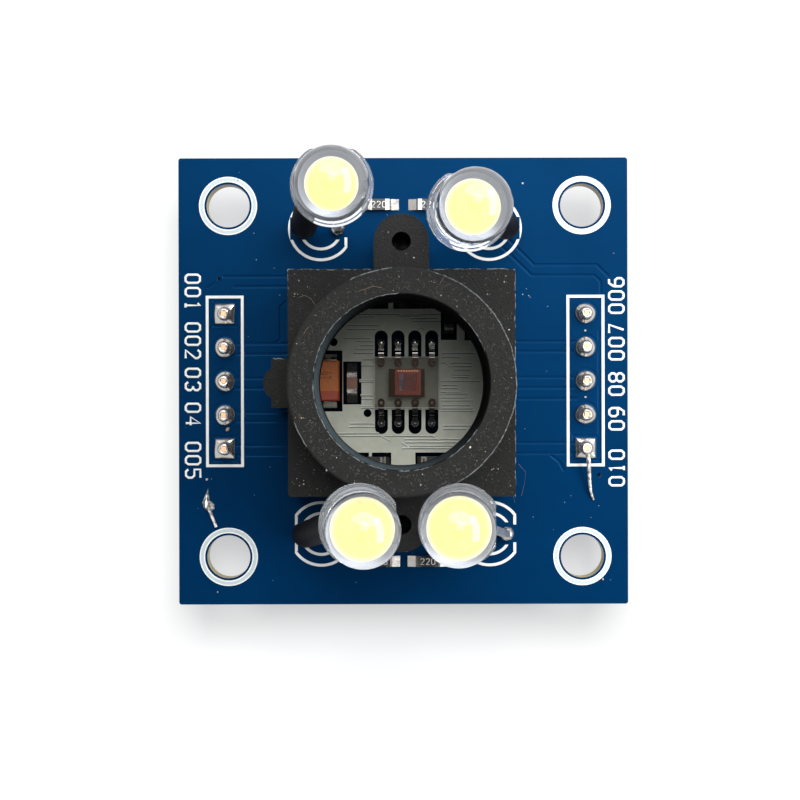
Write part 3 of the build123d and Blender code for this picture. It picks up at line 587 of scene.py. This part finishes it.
# Glass fibres
# Short glass fibres of the plastic lie bare in the skin of the tube's rim and the block's top. They are
# grey and give the holder its scratched look. A real fibre, 0.01 mm thick, is too fine to show, so each
# is drawn 0.026 mm thick.
fibre_grey, tree, shader = new_material("bare_glass_fibre", {"Roughness": 0.5, "IOR": 1.5})
grey = add_tones(tree, "#191918", "#353432", size=0.3 * mm, contrast=(0.4, 0.6))
paint(shader, grey)
outside_tube, fibre_line = 8.1, 0.026 * mm
spots = []
for k in range(520):
    angle, radius = random.uniform(0, math.tau), random.uniform(6.3, 7.6)
    spots.append((radius * math.cos(angle), radius * math.sin(angle), tube_rise))
for k in range(620):
    x, y = random.uniform(-7.8, 7.8), random.uniform(-7.8, 7.8)
    if math.hypot(x, y) > outside_tube:
        spots.append((x, y, block_rise))
fibres = bmesh.new()
fibre_lines = []
for x, y, rise in spots:
    angle, length = random.uniform(0, math.pi), random.uniform(0.04, 0.13)
    middle = Vector((bore_x + x * mm, bore_y + y * mm, board_top + rise * mm))
    along = Vector((math.cos(angle), math.sin(angle), 0)) * length * mm
    bend = Vector((-along.y, along.x, 0)) * random.uniform(-0.25, 0.25)
    fibre_lines.append([middle - along, middle + bend, middle + along])
add_strokes(fibres, fibre_lines, fibre_line)
add_piece("glass_fibres", fibres, fibre_grey)

# Holder screws
# Two pan-head self-tapping screws, cold-formed steel with a bright zinc plate, driven from below.
# The plate is a cool mirror with duller patches. Up in the ear holes, above the board's top, the screws
# are painted near-black as painted shade.
def roughen(tree, shader, patches, smooth, rough):
    """Varies a finish from smooth to rough over the span that a noise mostly keeps to, 0.3 to 0.7."""
    plug(shader.inputs["Roughness"], add_node(tree, "MapRange", patches, 0.3, 0.7, smooth, rough))


screw_zinc, tree, shader = new_material("bright_zinc_plated_steel", {"Metallic": 1.0})
where = add_node(tree, "TexCoord").outputs["Object"]
wear = add_node(tree, "TexNoise", where, 1 / (0.4 * mm), 3.0)
roughen(tree, shader, wear, smooth=0.2, rough=0.42)
height = add_node(tree, "SeparateXYZ", where).outputs["Z"]
# Painted shade: the screws are near-black wherever they stand above the board, up in the ears.
above_board_in_ears = add_node(tree, "Math", height, board_top, operation="GREATER_THAN")
zinc = add_node(tree, "Mix", above_board_in_ears, "#a8aaad", "#0b0c0e")
paint(shader, zinc)
dress("holder_screws", screw_zinc)

# Pin headers
# Two strips of black moulded plastic, satin with a fine grain drawn at 0.1 mm, with five square brass
# pins each. The tin plate on the pins is a warm mirror, and their cut ends, which stand out of the
# solder, show the dull copper-coloured core.
header_black, tree, shader = new_material("moulded_black_header_plastic", {"Roughness": 0.42, "IOR": 1.5})
paint(shader, add_tones(tree, "#151516", "#1f1f21", size=0.6 * mm))
add_grain(tree, shader, size=0.1 * mm, depth=0.006 * mm)

pin_cut_z = board_top + 1.03 * mm
pin_tin, tree, shader = new_material("tin_plated_brass_wire", {"Metallic": 1.0})
height = add_node(tree, "SeparateXYZ", add_node(tree, "TexCoord").outputs["Object"]).outputs["Z"]
cut = add_node(tree, "Math", height, pin_cut_z, operation="GREATER_THAN")
plate = add_tones(tree, "#c9c2b0", "#e2ddd0", size=0.3 * mm)
tipped = add_node(tree, "Mix", cut, plate, "#f2bd9c")
paint(shader, tipped)
plug(shader.inputs["Roughness"], add_node(tree, "MapRange", cut, 0, 1, 0.24, 0.6))
for side in ("left", "right"):
    dress(f"header_{side}_housing", header_black)
    for way in range(1, 6):
        dress(f"header_{side}_pin_{way}", pin_tin)

# Solder joints
# Hand-soldered tin alloy, bright and slightly rippled. On each pad it is a low dome with a steep neck up
# the pin, and each LED leg has a bead above and below the board. A tail of snipped tinned wire, streaky
# and duller, hangs from the last right-hand joint, and a scrap of solder and wire sticks to the board.
solder_bright, tree, shader = new_material("hand_soldered_tin_alloy", {"Metallic": 0.92})
where = add_node(tree, "TexCoord").outputs["Object"]
film = add_node(tree, "TexNoise", where, 1 / (0.5 * mm), 3.0)
skin = add_node(tree, "Mix", film, "#a9a5a0", "#d6d3ce")
paint(shader, skin)
roughen(tree, shader, film, smooth=0.14, rough=0.28)
add_grain(tree, shader, size=0.9 * mm, depth=0.012 * mm, detail=1.0)
wire_snipped, tree, shader = new_material("snipped_tinned_wire", {"Metallic": 0.7, "Roughness": 0.3})
wear_and_sheen = add_tones(tree, "#8b857d", "#f4f1ec", size=0.25 * mm, contrast=(0.42, 0.6))
paint(shader, wear_and_sheen)
dress("pin_tail", wire_snipped)


def set_on_board(shape):
    """Turns the faces of a shape drawn in millimetres outwards, and sets it on the board's top."""
    bmesh.ops.recalc_face_normals(shape, faces=shape.faces)
    bmesh.ops.scale(shape, verts=shape.verts, vec=(mm, mm, mm))
    bmesh.ops.translate(shape, verts=shape.verts, vec=(0, 0, board_top))


scrap_outline = [
    (-14.84, -9.84), (-14.42, -9.62), (-14.46, -9.28), (-14.8, -8.98), (-14.9, -8.08), (-15.36, -9.16),
    (-15.2, -9.62),
]
crest_low, crest_high, crest_rise = Vector((-15.06, -9.5, 0)), Vector((-15.0, -8.6, 0)), 0.3
drawn_in, crest_fall = 0.82, 0.6
scrap = bmesh.new()
base = scrap.faces.new([scrap.verts.new((x, y, 0)) for x, y in scrap_outline])
raised = bmesh.ops.extrude_face_region(scrap, geom=[base], use_keep_orig=True)
for vertex in raised["geom"]:
    if isinstance(vertex, bmesh.types.BMVert):
        share = geometry.intersect_point_line(vertex.co, crest_low, crest_high)[1]
        share = min(1.0, max(0.0, share))
        vertex.co = vertex.co.lerp(crest_low.lerp(crest_high, share), drawn_in)
        vertex.co.z = crest_rise * (1 - crest_fall * share)
set_on_board(scrap)
wire_ends, wire_thick = [(-14.9, -9.45, 0.2), (-14.28, -10.99, 0.13)], 0.24 * mm
wire_line = [(x * mm, y * mm, board_top + z * mm) for x, y, z in wire_ends]
add_strokes(scrap, [wire_line], wire_thick)
piece = add_piece("stuck_solder_scrap", scrap, wire_snipped, 20)
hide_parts("solder_clipping")

pad_reach, neck_reach, pin_copper_r, barrel_r, barrel_deep = 0.76, 0.45, 0.23, 0.48, 1.6
joint_profile = [
    (barrel_r, -barrel_deep), (barrel_r, 0.0), (pad_reach, 0.0), (0.755, 0.05), (0.73, 0.1), (0.68, 0.155),
    (0.62, 0.205), (0.56, 0.25), (0.51, 0.29), (0.48, 0.34), (0.465, 0.45), (0.46, 0.82), (0.42, 0.94),
    (0.36, 1.01), (0.29, 1.04), (0.25, 1.03), (pin_copper_r, 1.0), (pin_copper_r, 0.9),
]
pin_pitch, ways, ring_points = 2.54, 5, 48
swell_share, corner_share, tilt_share = 0.03, 0.9, 0.04
for side, column_x in (("left", -13.62), ("right", 13.62)):
    joints = bmesh.new()
    for way in range(ways):
        # The lowest pad of each header and the top pad of the left one are square, and no two joints
        # waver alike.
        square = way == 4 or (way == 0 and side == "left")
        phase = 1.7 * way + (0.6 if side == "left" else 2.9)
        rings = []
        for reach, rise in joint_profile:
            ring = []
            for k in range(ring_points):
                angle = math.tau * k / ring_points
                waves = math.sin(2 * angle + phase) + math.sin(3 * angle - 2 * phase)
                swell = 1 + swell_share * waves if 0 < rise < 1 else 1
                spread = max(0.0, (reach - neck_reach) / (pad_reach - neck_reach)) if rise >= 0 else 0.0
                corner = max(abs(math.cos(angle)), abs(math.sin(angle)))
                widening = (1 / corner - 1) * spread * corner_share if square else 0.0
                radius = reach * swell * (1 + widening)
                lift = tilt_share * rise * math.sin(angle + phase) if rise > 0 else 0.0
                place = (radius * math.cos(angle), radius * math.sin(angle), rise + lift)
                ring.append(joints.verts.new(place))
            rings.append(ring)
        for lower, upper in zip(rings, rings[1:]):
            for k in range(ring_points):
                joints.faces.new((lower[k - 1], lower[k], upper[k], upper[k - 1]))
        joints.faces.new(reversed(rings[0]))
        joints.faces.new(rings[-1])
        own = [vertex for ring in rings for vertex in ring]
        way_place = (column_x, pin_pitch * (ways // 2 - way), 0)
        bmesh.ops.translate(joints, verts=own, vec=way_place)
    set_on_board(joints)
    piece = add_piece(f"header_{side}_joints", joints, solder_bright)
    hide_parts(f"header_{side}_solder")

led_hole_y, led_hole_xs, leg_barrel_r = 11.53 * mm, (5.08 * mm, 7.62 * mm), 0.42 * mm
bead_x, bead_y = 0.56 * mm, 0.54 * mm
bead_heights = ((0.5 * mm, board_top + 0.26 * mm), (0.36 * mm, board_low.z - 0.12 * mm))
board_t = board_top - board_low.z
beads = bmesh.new()
for side_x in (-1, 1):
    for side_y in (-1, 1):
        for hole_from_middle in led_hole_xs:
            hole = Vector((side_x * hole_from_middle, side_y * led_hole_y, 0))
            for bead_z, middle_z in bead_heights:
                bead = bmesh.ops.create_uvsphere(beads, u_segments=32, v_segments=20, radius=1)
                bmesh.ops.scale(beads, verts=bead["verts"], vec=(bead_x, bead_y, bead_z))
                bmesh.ops.translate(beads, verts=bead["verts"], vec=hole + Vector((0, 0, middle_z)))
            barrel = bmesh.ops.create_cone(
                beads, cap_ends=True, segments=32, depth=board_t,
                radius1=leg_barrel_r, radius2=leg_barrel_r,
            )
            barrel_place = hole + Vector((0, 0, board_low.z + board_t / 2))
            bmesh.ops.translate(beads, verts=barrel["verts"], vec=barrel_place)
piece = add_piece("led_solder_beads", beads, solder_bright)
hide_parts("led_solder")

# LEDs
# Four 5 mm heads cast in water-clear epoxy, which bends the view of the silver-plated frame inside it;
# a drop of dull yellow phosphor silicone fills the frame's cup. They stand on their legs, silver with a
# soft tarnish and dulled by the epoxy round them, one leg of each in matt black extruded tubing.
led_heads = {
    "top_left": {"centre": (-4.98, 13.13), "lean": (0.03, -0.10), "flat": 90},
    "top_right": {"centre": (4.21, 11.42), "lean": (0.045, -0.055), "flat": 90},
    "bottom_left": {"centre": (-3.14, -9.87), "lean": (0.06, 0.0), "flat": 0},
    "bottom_right": {"centre": (3.66, -9.9), "lean": (-0.05, 0.015), "flat": 0},
}
head_base_z = board_top + 13.3 * mm
flange_r, flange_t, flange_flat = 2.825 * mm, 1.0 * mm, 2.42 * mm
bulb_r, bulb_h = 2.45 * mm, 8.59 * mm
mould_edge = 0.14 * mm

epoxy_clear, tree, shader = new_material(
    "cast_water_clear_epoxy",
    {"Base Color": "#f8fbff", "Roughness": 0.02, "IOR": 1.53, "Transmission Weight": 0.95},
)
in_shadow = add_node(tree, "LightPath").outputs["Is Shadow Ray"]
clear = add_node(tree, "BsdfTransparent", Color=(0.9, 0.92, 0.94, 1))
cast = add_node(tree, "MixShader", in_shadow, shader, clear)
plug(tree.nodes["Material Output"].inputs["Surface"], cast)


def phosphor_material(name, centre, radius):
    """Makes the yellow of one head's phosphor, paler towards the rim, where the silicone runs thin."""
    rim_start, rim_end = 0.9 * radius, 1.08 * radius
    silicone, tree, shader = new_material(f"phosphor_in_silicone_{name}", {"Roughness": 0.6, "IOR": 1.41})
    where = add_node(tree, "TexCoord").outputs["Object"]
    yellow = add_tones(tree, "#aca054", "#b5a962", size=0.15 * mm)
    off_centre = add_node(tree, "VectorMath", where, centre, operation="DISTANCE")
    rim = add_node(tree, "MapRange", off_centre, rim_start, rim_end, 0.0, 1.0)
    faded = add_node(tree, "Mix", rim, yellow, "#b3b2a0")
    paint(shader, faded)
    return silicone


dull_over = 3 * mm
leg_silver, tree, shader = new_material("silver_plated_stamped_steel", {"Metallic": 1.0})
where = add_node(tree, "TexCoord").outputs["Object"]
tarnish = add_node(tree, "TexNoise", where, 1 / (0.8 * mm), 3.0)
silver = add_node(tree, "Mix", tarnish, "#d3d0c9", "#f2f0ec")
height = add_node(tree, "SeparateXYZ", where).outputs["Z"]
cast_in = add_node(tree, "MapRange", height, head_base_z, head_base_z + dull_over, 0.0, 1.0)
dulled = add_node(tree, "Mix", cast_in, silver, "#707276")
paint(shader, dulled)
roughen(tree, shader, tarnish, smooth=0.3, rough=0.45)

sleeve_black, tree, shader = new_material(
    "extruded_black_tubing", {"Roughness": 0.55, "IOR": 1.5, "Specular IOR Level": 0.08}
)
paint(shader, add_tones(tree, "#070606", "#100e0e", size=1.0 * mm))
add_grain(tree, shader, size=0.5 * mm, depth=0.03 * mm)

dome_steps, seam = 24, 0.001 * mm
for name, head in led_heads.items():
    outline = [(0, 0), (flange_r - mould_edge, 0), (flange_r, mould_edge)]
    outline += [(flange_r, flange_t - mould_edge), (flange_r - mould_edge, flange_t)]
    outline += [(bulb_r + mould_edge, flange_t), (bulb_r, flange_t + mould_edge)]
    outline += [(bulb_r, bulb_h - bulb_r)]
    for k in range(1, dome_steps + 1):
        angle = math.radians(90) * k / dome_steps
        outline.append((bulb_r * math.cos(angle), bulb_h - bulb_r + bulb_r * math.sin(angle)))
    lens = bmesh.new()
    corners = [lens.verts.new((r, 0, z)) for r, z in outline]
    edges = [lens.edges.new(pair) for pair in zip(corners, corners[1:])]
    bmesh.ops.spin(
        lens, geom=corners + edges, axis=(0, 0, 1), cent=(0, 0, 0),
        angle=math.tau, steps=96, use_merge=True,
    )
    bmesh.ops.remove_doubles(lens, verts=lens.verts, dist=seam)
    for vertex in lens.verts:
        if vertex.co.z < flange_t + mould_edge / 2 and vertex.co.x > flange_flat:
            vertex.co.x = flange_flat
    bmesh.ops.dissolve_degenerate(lens, edges=lens.edges, dist=seam)
    flat_turn = Matrix.Rotation(math.radians(head["flat"]), 3, "Z")
    bmesh.ops.rotate(lens, verts=lens.verts, cent=(0, 0, 0), matrix=flat_turn)
    bmesh.ops.recalc_face_normals(lens, faces=lens.faces)
    lean_x, lean_y = head["lean"]
    up = Vector((lean_x, lean_y, 1)).normalized()
    across = Vector((1, 0, -lean_x)).normalized()
    turn = Matrix((across, up.cross(across), up)).transposed().to_4x4()
    centre = Vector((head["centre"][0] * mm, head["centre"][1] * mm, head_base_z))
    bmesh.ops.transform(lens, verts=lens.verts, matrix=Matrix.Translation(centre) @ turn)
    piece = add_piece(f"led_{name}_clear_head", lens, epoxy_clear)
    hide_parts(f"led_{name}_lens")
    phosphor_low, phosphor_high = corners_of(f"led_{name}_phosphor")
    phosphor_middle = (phosphor_low + phosphor_high) / 2
    phosphor_r = (phosphor_high.x - phosphor_low.x) / 2
    dress(f"led_{name}_phosphor", phosphor_material(name, phosphor_middle, phosphor_r))
    for leg in ("cathode", "anode"):
        dress(f"led_{name}_{leg}", leg_silver)
    dress(f"led_{name}_sleeve", sleeve_black)

# Light sensor
# Eight bright tin-plated leads and a paddle stamped from copper sheet, brown-grey where the epoxy covers
# them; a die of red-brown polished silicon with dyed filters and gold pads, glued to the paddle; and a
# package moulded in clear, faintly smoky epoxy over both, with a thin frosted flash on its edges.
moulded_half = 1.95 * mm
lead_tin, tree, shader = new_material("tin_plated_copper_sheet", {"Metallic": 1.0, "Roughness": 0.08})
where = add_node(tree, "TexCoord").outputs["Object"]
sensor_y = (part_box("sensor_package")[0][1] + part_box("sensor_package")[1][1]) / 2
place_y = add_node(tree, "SeparateXYZ", where).outputs["Y"]
from_middle = add_node(tree, "Math", place_y, sensor_y, operation="SUBTRACT")
off_middle = add_node(tree, "Math", from_middle, operation="ABSOLUTE")
inside = add_node(tree, "Math", off_middle, moulded_half, operation="LESS_THAN")
brushed = add_node(tree, "TexNoise", where, 1 / (0.3 * mm), 3.0)
tin = add_node(tree, "Mix", brushed, "#99958f", "#bdb9b2")
copper = add_node(tree, "Mix", brushed, "#352d27", "#4b4139")
plate = add_node(tree, "Mix", inside, tin, copper)
paint(shader, plate)
dress("sensor_lead_frame", lead_tin)

lead_pitch, first_lead_x, toe_y = 1.27 * mm, -1.805 * mm, 3.02 * mm
toe_size = (0.3 * mm, 0.34 * mm, 0.2 * mm)
toes = bmesh.new()
for k in range(4):
    for end in (-1, 1):
        toe = bmesh.ops.create_uvsphere(toes, u_segments=20, v_segments=12, radius=1)
        bmesh.ops.scale(toes, verts=toe["verts"], vec=toe_size)
        toe_place = (first_lead_x + lead_pitch * k, sensor_y + end * toe_y, board_top)
        bmesh.ops.translate(toes, verts=toe["verts"], vec=toe_place)
add_piece("sensor_toe_solder", toes, solder_bright)

silicon, tree, shader = new_material("polished_silicon", {"Roughness": 0.18, "Metallic": 0.4})
paint(shader, add_tones(tree, "#6b2e25", "#8a4136", size=0.1 * mm))
dress("sensor_die", silicon)

die_low, die_high = corners_of("sensor_die")
die_centre = (die_low + die_high) / 2
cell, cells_across, gap, sunk = 0.16 * mm, 8, 0.012 * mm, 0.01 * mm
filter_tones = {"red": "#8a3328", "green": "#5b5660", "blue": "#6e6680", "clear": "#8d7f88"}
filters = []
for filter_name, filter_tone in filter_tones.items():
    film, tree, shader = new_material(f"{filter_name}_dyed_photoresist", {"Base Color": filter_tone})
    where = add_node(tree, "TexCoord").outputs["Object"]
    spots = add_node(tree, "TexNoise", where, 1 / (0.05 * mm), 3.0)
    roughen(tree, shader, spots, smooth=0.15, rough=0.35)
    filters.append(film)
array_half = cells_across * cell / 2
array = bmesh.new()
bmesh.ops.create_grid(array, x_segments=cells_across, y_segments=cells_across, size=array_half)
bmesh.ops.inset_individual(array, faces=array.faces[:], thickness=gap, depth=sunk)
array.faces.ensure_lookup_table()
# The two columns on the left mix the other filters, and the rest is red.
for window in array.faces:
    middle = window.calc_center_median()
    column = math.floor(middle.x / cell) + cells_across
    row = math.floor(middle.y / cell) + cells_across
    window.material_index = 0 if column > 5 else 1 + (column + row // 3) % 3
film_z = die_high.z + 0.004 * mm
bmesh.ops.translate(array, verts=array.verts, vec=(die_centre.x, die_centre.y, film_z))
array_piece = add_piece("photodiode_filters", array, filters[0])
for film in filters[1:]:
    array_piece.data.materials.append(film)

gold, tree, shader = new_material("evaporated_gold", {"Metallic": 1.0, "Roughness": 0.3})
paint(shader, add_tones(tree, "#c98a5c", "#f0c9a0", size=0.1 * mm))
pad_size, pad_flatness, pad_step, pad_y = 0.09 * mm, 0.2, 0.2 * mm, die_high.y - 0.12 * mm
pads = bmesh.new()
for k in range(8):
    pad = bmesh.ops.create_cube(pads, size=pad_size)
    bmesh.ops.scale(pads, verts=pad["verts"], vec=(1, 1, pad_flatness))
    pad_place = (die_centre.x + (k - 3.5) * pad_step, pad_y, die_high.z)
    bmesh.ops.translate(pads, verts=pad["verts"], vec=pad_place)
add_piece("die_bond_pads", pads, gold)

package_clear, tree, shader = new_material(
    "moulded_clear_package_epoxy",
    {"Base Color": "#b4b1ab", "Roughness": 0.05, "IOR": 1.52, "Transmission Weight": 1.0},
)
rays = add_node(tree, "LightPath").outputs
clear = add_node(tree, "BsdfTransparent", Color=(0.82, 0.84, 0.84, 1))
straight = add_node(tree, "Math", rays["Is Shadow Ray"], rays["Is Diffuse Ray"], operation="MAXIMUM")
moulded = add_node(tree, "MixShader", straight, shader, clear)
plug(tree.nodes["Material Output"].inputs["Surface"], moulded)
package_low, package_high = corners_of("sensor_package")
package_size, package_middle = package_high - package_low, (package_low + package_high) / 2
package_draft, package_edge = math.tan(math.radians(6)) * package_size.z / 2, 0.05 * mm
off_parting = 0.1 * mm
package = bmesh.new()
bmesh.ops.create_cube(package, size=1)
bmesh.ops.scale(package, verts=package.verts, vec=package_size)
posts = [edge for edge in package.edges if abs(edge.verts[0].co.z - edge.verts[1].co.z) > off_parting]
bmesh.ops.subdivide_edges(package, edges=posts, cuts=1, use_grid_fill=True)
for vertex in package.verts:
    if abs(vertex.co.z) > off_parting:
        vertex.co.x -= math.copysign(package_draft, vertex.co.x)
        vertex.co.y -= math.copysign(package_draft, vertex.co.y)
bmesh.ops.bevel(
    package, geom=package.edges[:], offset=package_edge, affect="EDGES",
    segments=2, profile=0.5, material=-1,
)
bmesh.ops.translate(package, verts=package.verts, vec=package_middle)
bmesh.ops.recalc_face_normals(package, faces=package.faces)
package_piece = add_piece("sensor_clear_package", package, package_clear, sharp_from=10)
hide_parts("sensor_package")

epoxy_flash, tree, shader = new_material("thin_flash_of_clear_epoxy", {"Roughness": 0.35, "IOR": 1.52})
paint(shader, add_tones(tree, "#a9a8a0", "#efeee8", size=0.4 * mm))
parting_flash = (0.0, package_middle.z, 0.055 * mm)
top_flash = (package_draft, package_high.z - 0.02 * mm, 0.045 * mm)
edge_lines = bmesh.new()
for set_in, edge_z, edge_line in (parting_flash, top_flash):
    half_x, half_y = package_size.x / 2 - set_in, package_size.y / 2 - set_in
    turns = ((-1, -1), (1, -1), (1, 1), (-1, 1), (-1, -1))
    loop = [(package_middle.x + half_x * x, package_middle.y + half_y * y, edge_z) for x, y in turns]
    add_strokes(edge_lines, [loop], edge_line)
add_piece("sensor_package_edges", edge_lines, epoxy_flash)

# Tantalum capacitor
# A moulded epoxy block, matt orange with a redder polarity band at one end, over folded tin-plated
# strips. Its marks are burnt in by laser, dark brown and slightly uneven.
tantalum_low, tantalum_high = corners_of("tantalum_body")
band_end, mark_cap, mark_line, mark_up = tantalum_low.y + 0.74 * mm, 0.42 * mm, 0.05 * mm, 1.9 * mm
tantalum_orange, tree, shader = new_material("moulded_orange_epoxy_case", {"Roughness": 0.45, "IOR": 1.5})
where = add_node(tree, "TexCoord").outputs["Object"]
place_y = add_node(tree, "SeparateXYZ", where).outputs["Y"]
band = add_node(tree, "Math", place_y, band_end, operation="LESS_THAN")
orange = add_tones(tree, "#b0581a", "#c9722a", size=0.3 * mm)
banded = add_node(tree, "Mix", band, orange, "#a33d17")
paint(shader, banded)
add_grain(tree, shader, size=0.1 * mm, depth=0.008 * mm)
dress("tantalum_body", tantalum_orange)

mark_dark, tree, shader = new_material("laser_burnt_mark", {"Roughness": 0.6})
paint(shader, add_tones(tree, "#3d2413", "#5c3516", size=0.08 * mm))
tantalum_marks = bmesh.new()
for text, mark_from_middle in (("47", 0.1 * mm), ("16", -0.38 * mm)):
    mark_x = (tantalum_low.x + tantalum_high.x) / 2 + mark_from_middle
    place = Matrix.Translation((mark_x, tantalum_low.y + mark_up, tantalum_high.z))
    place @= Matrix.Rotation(math.radians(90), 4, "Z")
    add_number(tantalum_marks, text, mark_cap, mark_line, place)
add_piece("tantalum_marks", tantalum_marks, mark_dark)

# Chip resistors and capacitors
# Small ceramic blocks with tin-plated ends, bright where solder wets them. The capacitor is bare brown
# ceramic with a soft mottle; the resistors are alumina under a glossy black glaze, with a printed value.
terminal_tin, tree, shader = new_material("plated_tin_with_solder", {"Metallic": 0.9})
where = add_node(tree, "TexCoord").outputs["Object"]
film = add_node(tree, "TexNoise", where, 1 / (0.35 * mm), 3.0)
tin = add_node(tree, "Mix", film, "#a5a29d", "#c9c6c2")
paint(shader, tin)
roughen(tree, shader, film, smooth=0.12, rough=0.22)
for chip in ("tantalum", "ceramic_capacitor", "resistor", "inner_chip"):
    dress(f"{chip}_terminals", terminal_tin)

ceramic_brown, tree, shader = new_material("fired_brown_ceramic", {"Roughness": 0.4, "IOR": 1.6})
paint(shader, add_tones(tree, "#6f3f1f", "#9a5a2c", size=0.2 * mm))
dress("ceramic_capacitor_body", ceramic_brown)

glaze_black, tree, shader = new_material("black_glaze_on_alumina", {"Roughness": 0.3, "IOR": 1.6})
paint(shader, add_tones(tree, "#0e0e10", "#1c1c1f", size=0.2 * mm))
for side in ("top", "right", "bottom_left", "bottom_right"):
    dress(f"inner_chip_{side}", glaze_black)

value_cap, value_line = 0.5 * mm, 0.06 * mm
chip_numbers = bmesh.new()
for corner in led_heads:
    dress(f"resistor_{corner}", glaze_black)
    chip_low, chip_high = corners_of(f"resistor_{corner}")
    middle = (chip_low + chip_high) / 2
    place = Matrix.Translation((middle.x, middle.y, chip_high.z))
    add_number(chip_numbers, "220", value_cap, value_line, place)
add_piece("resistor_numbers", chip_numbers, ink_white)
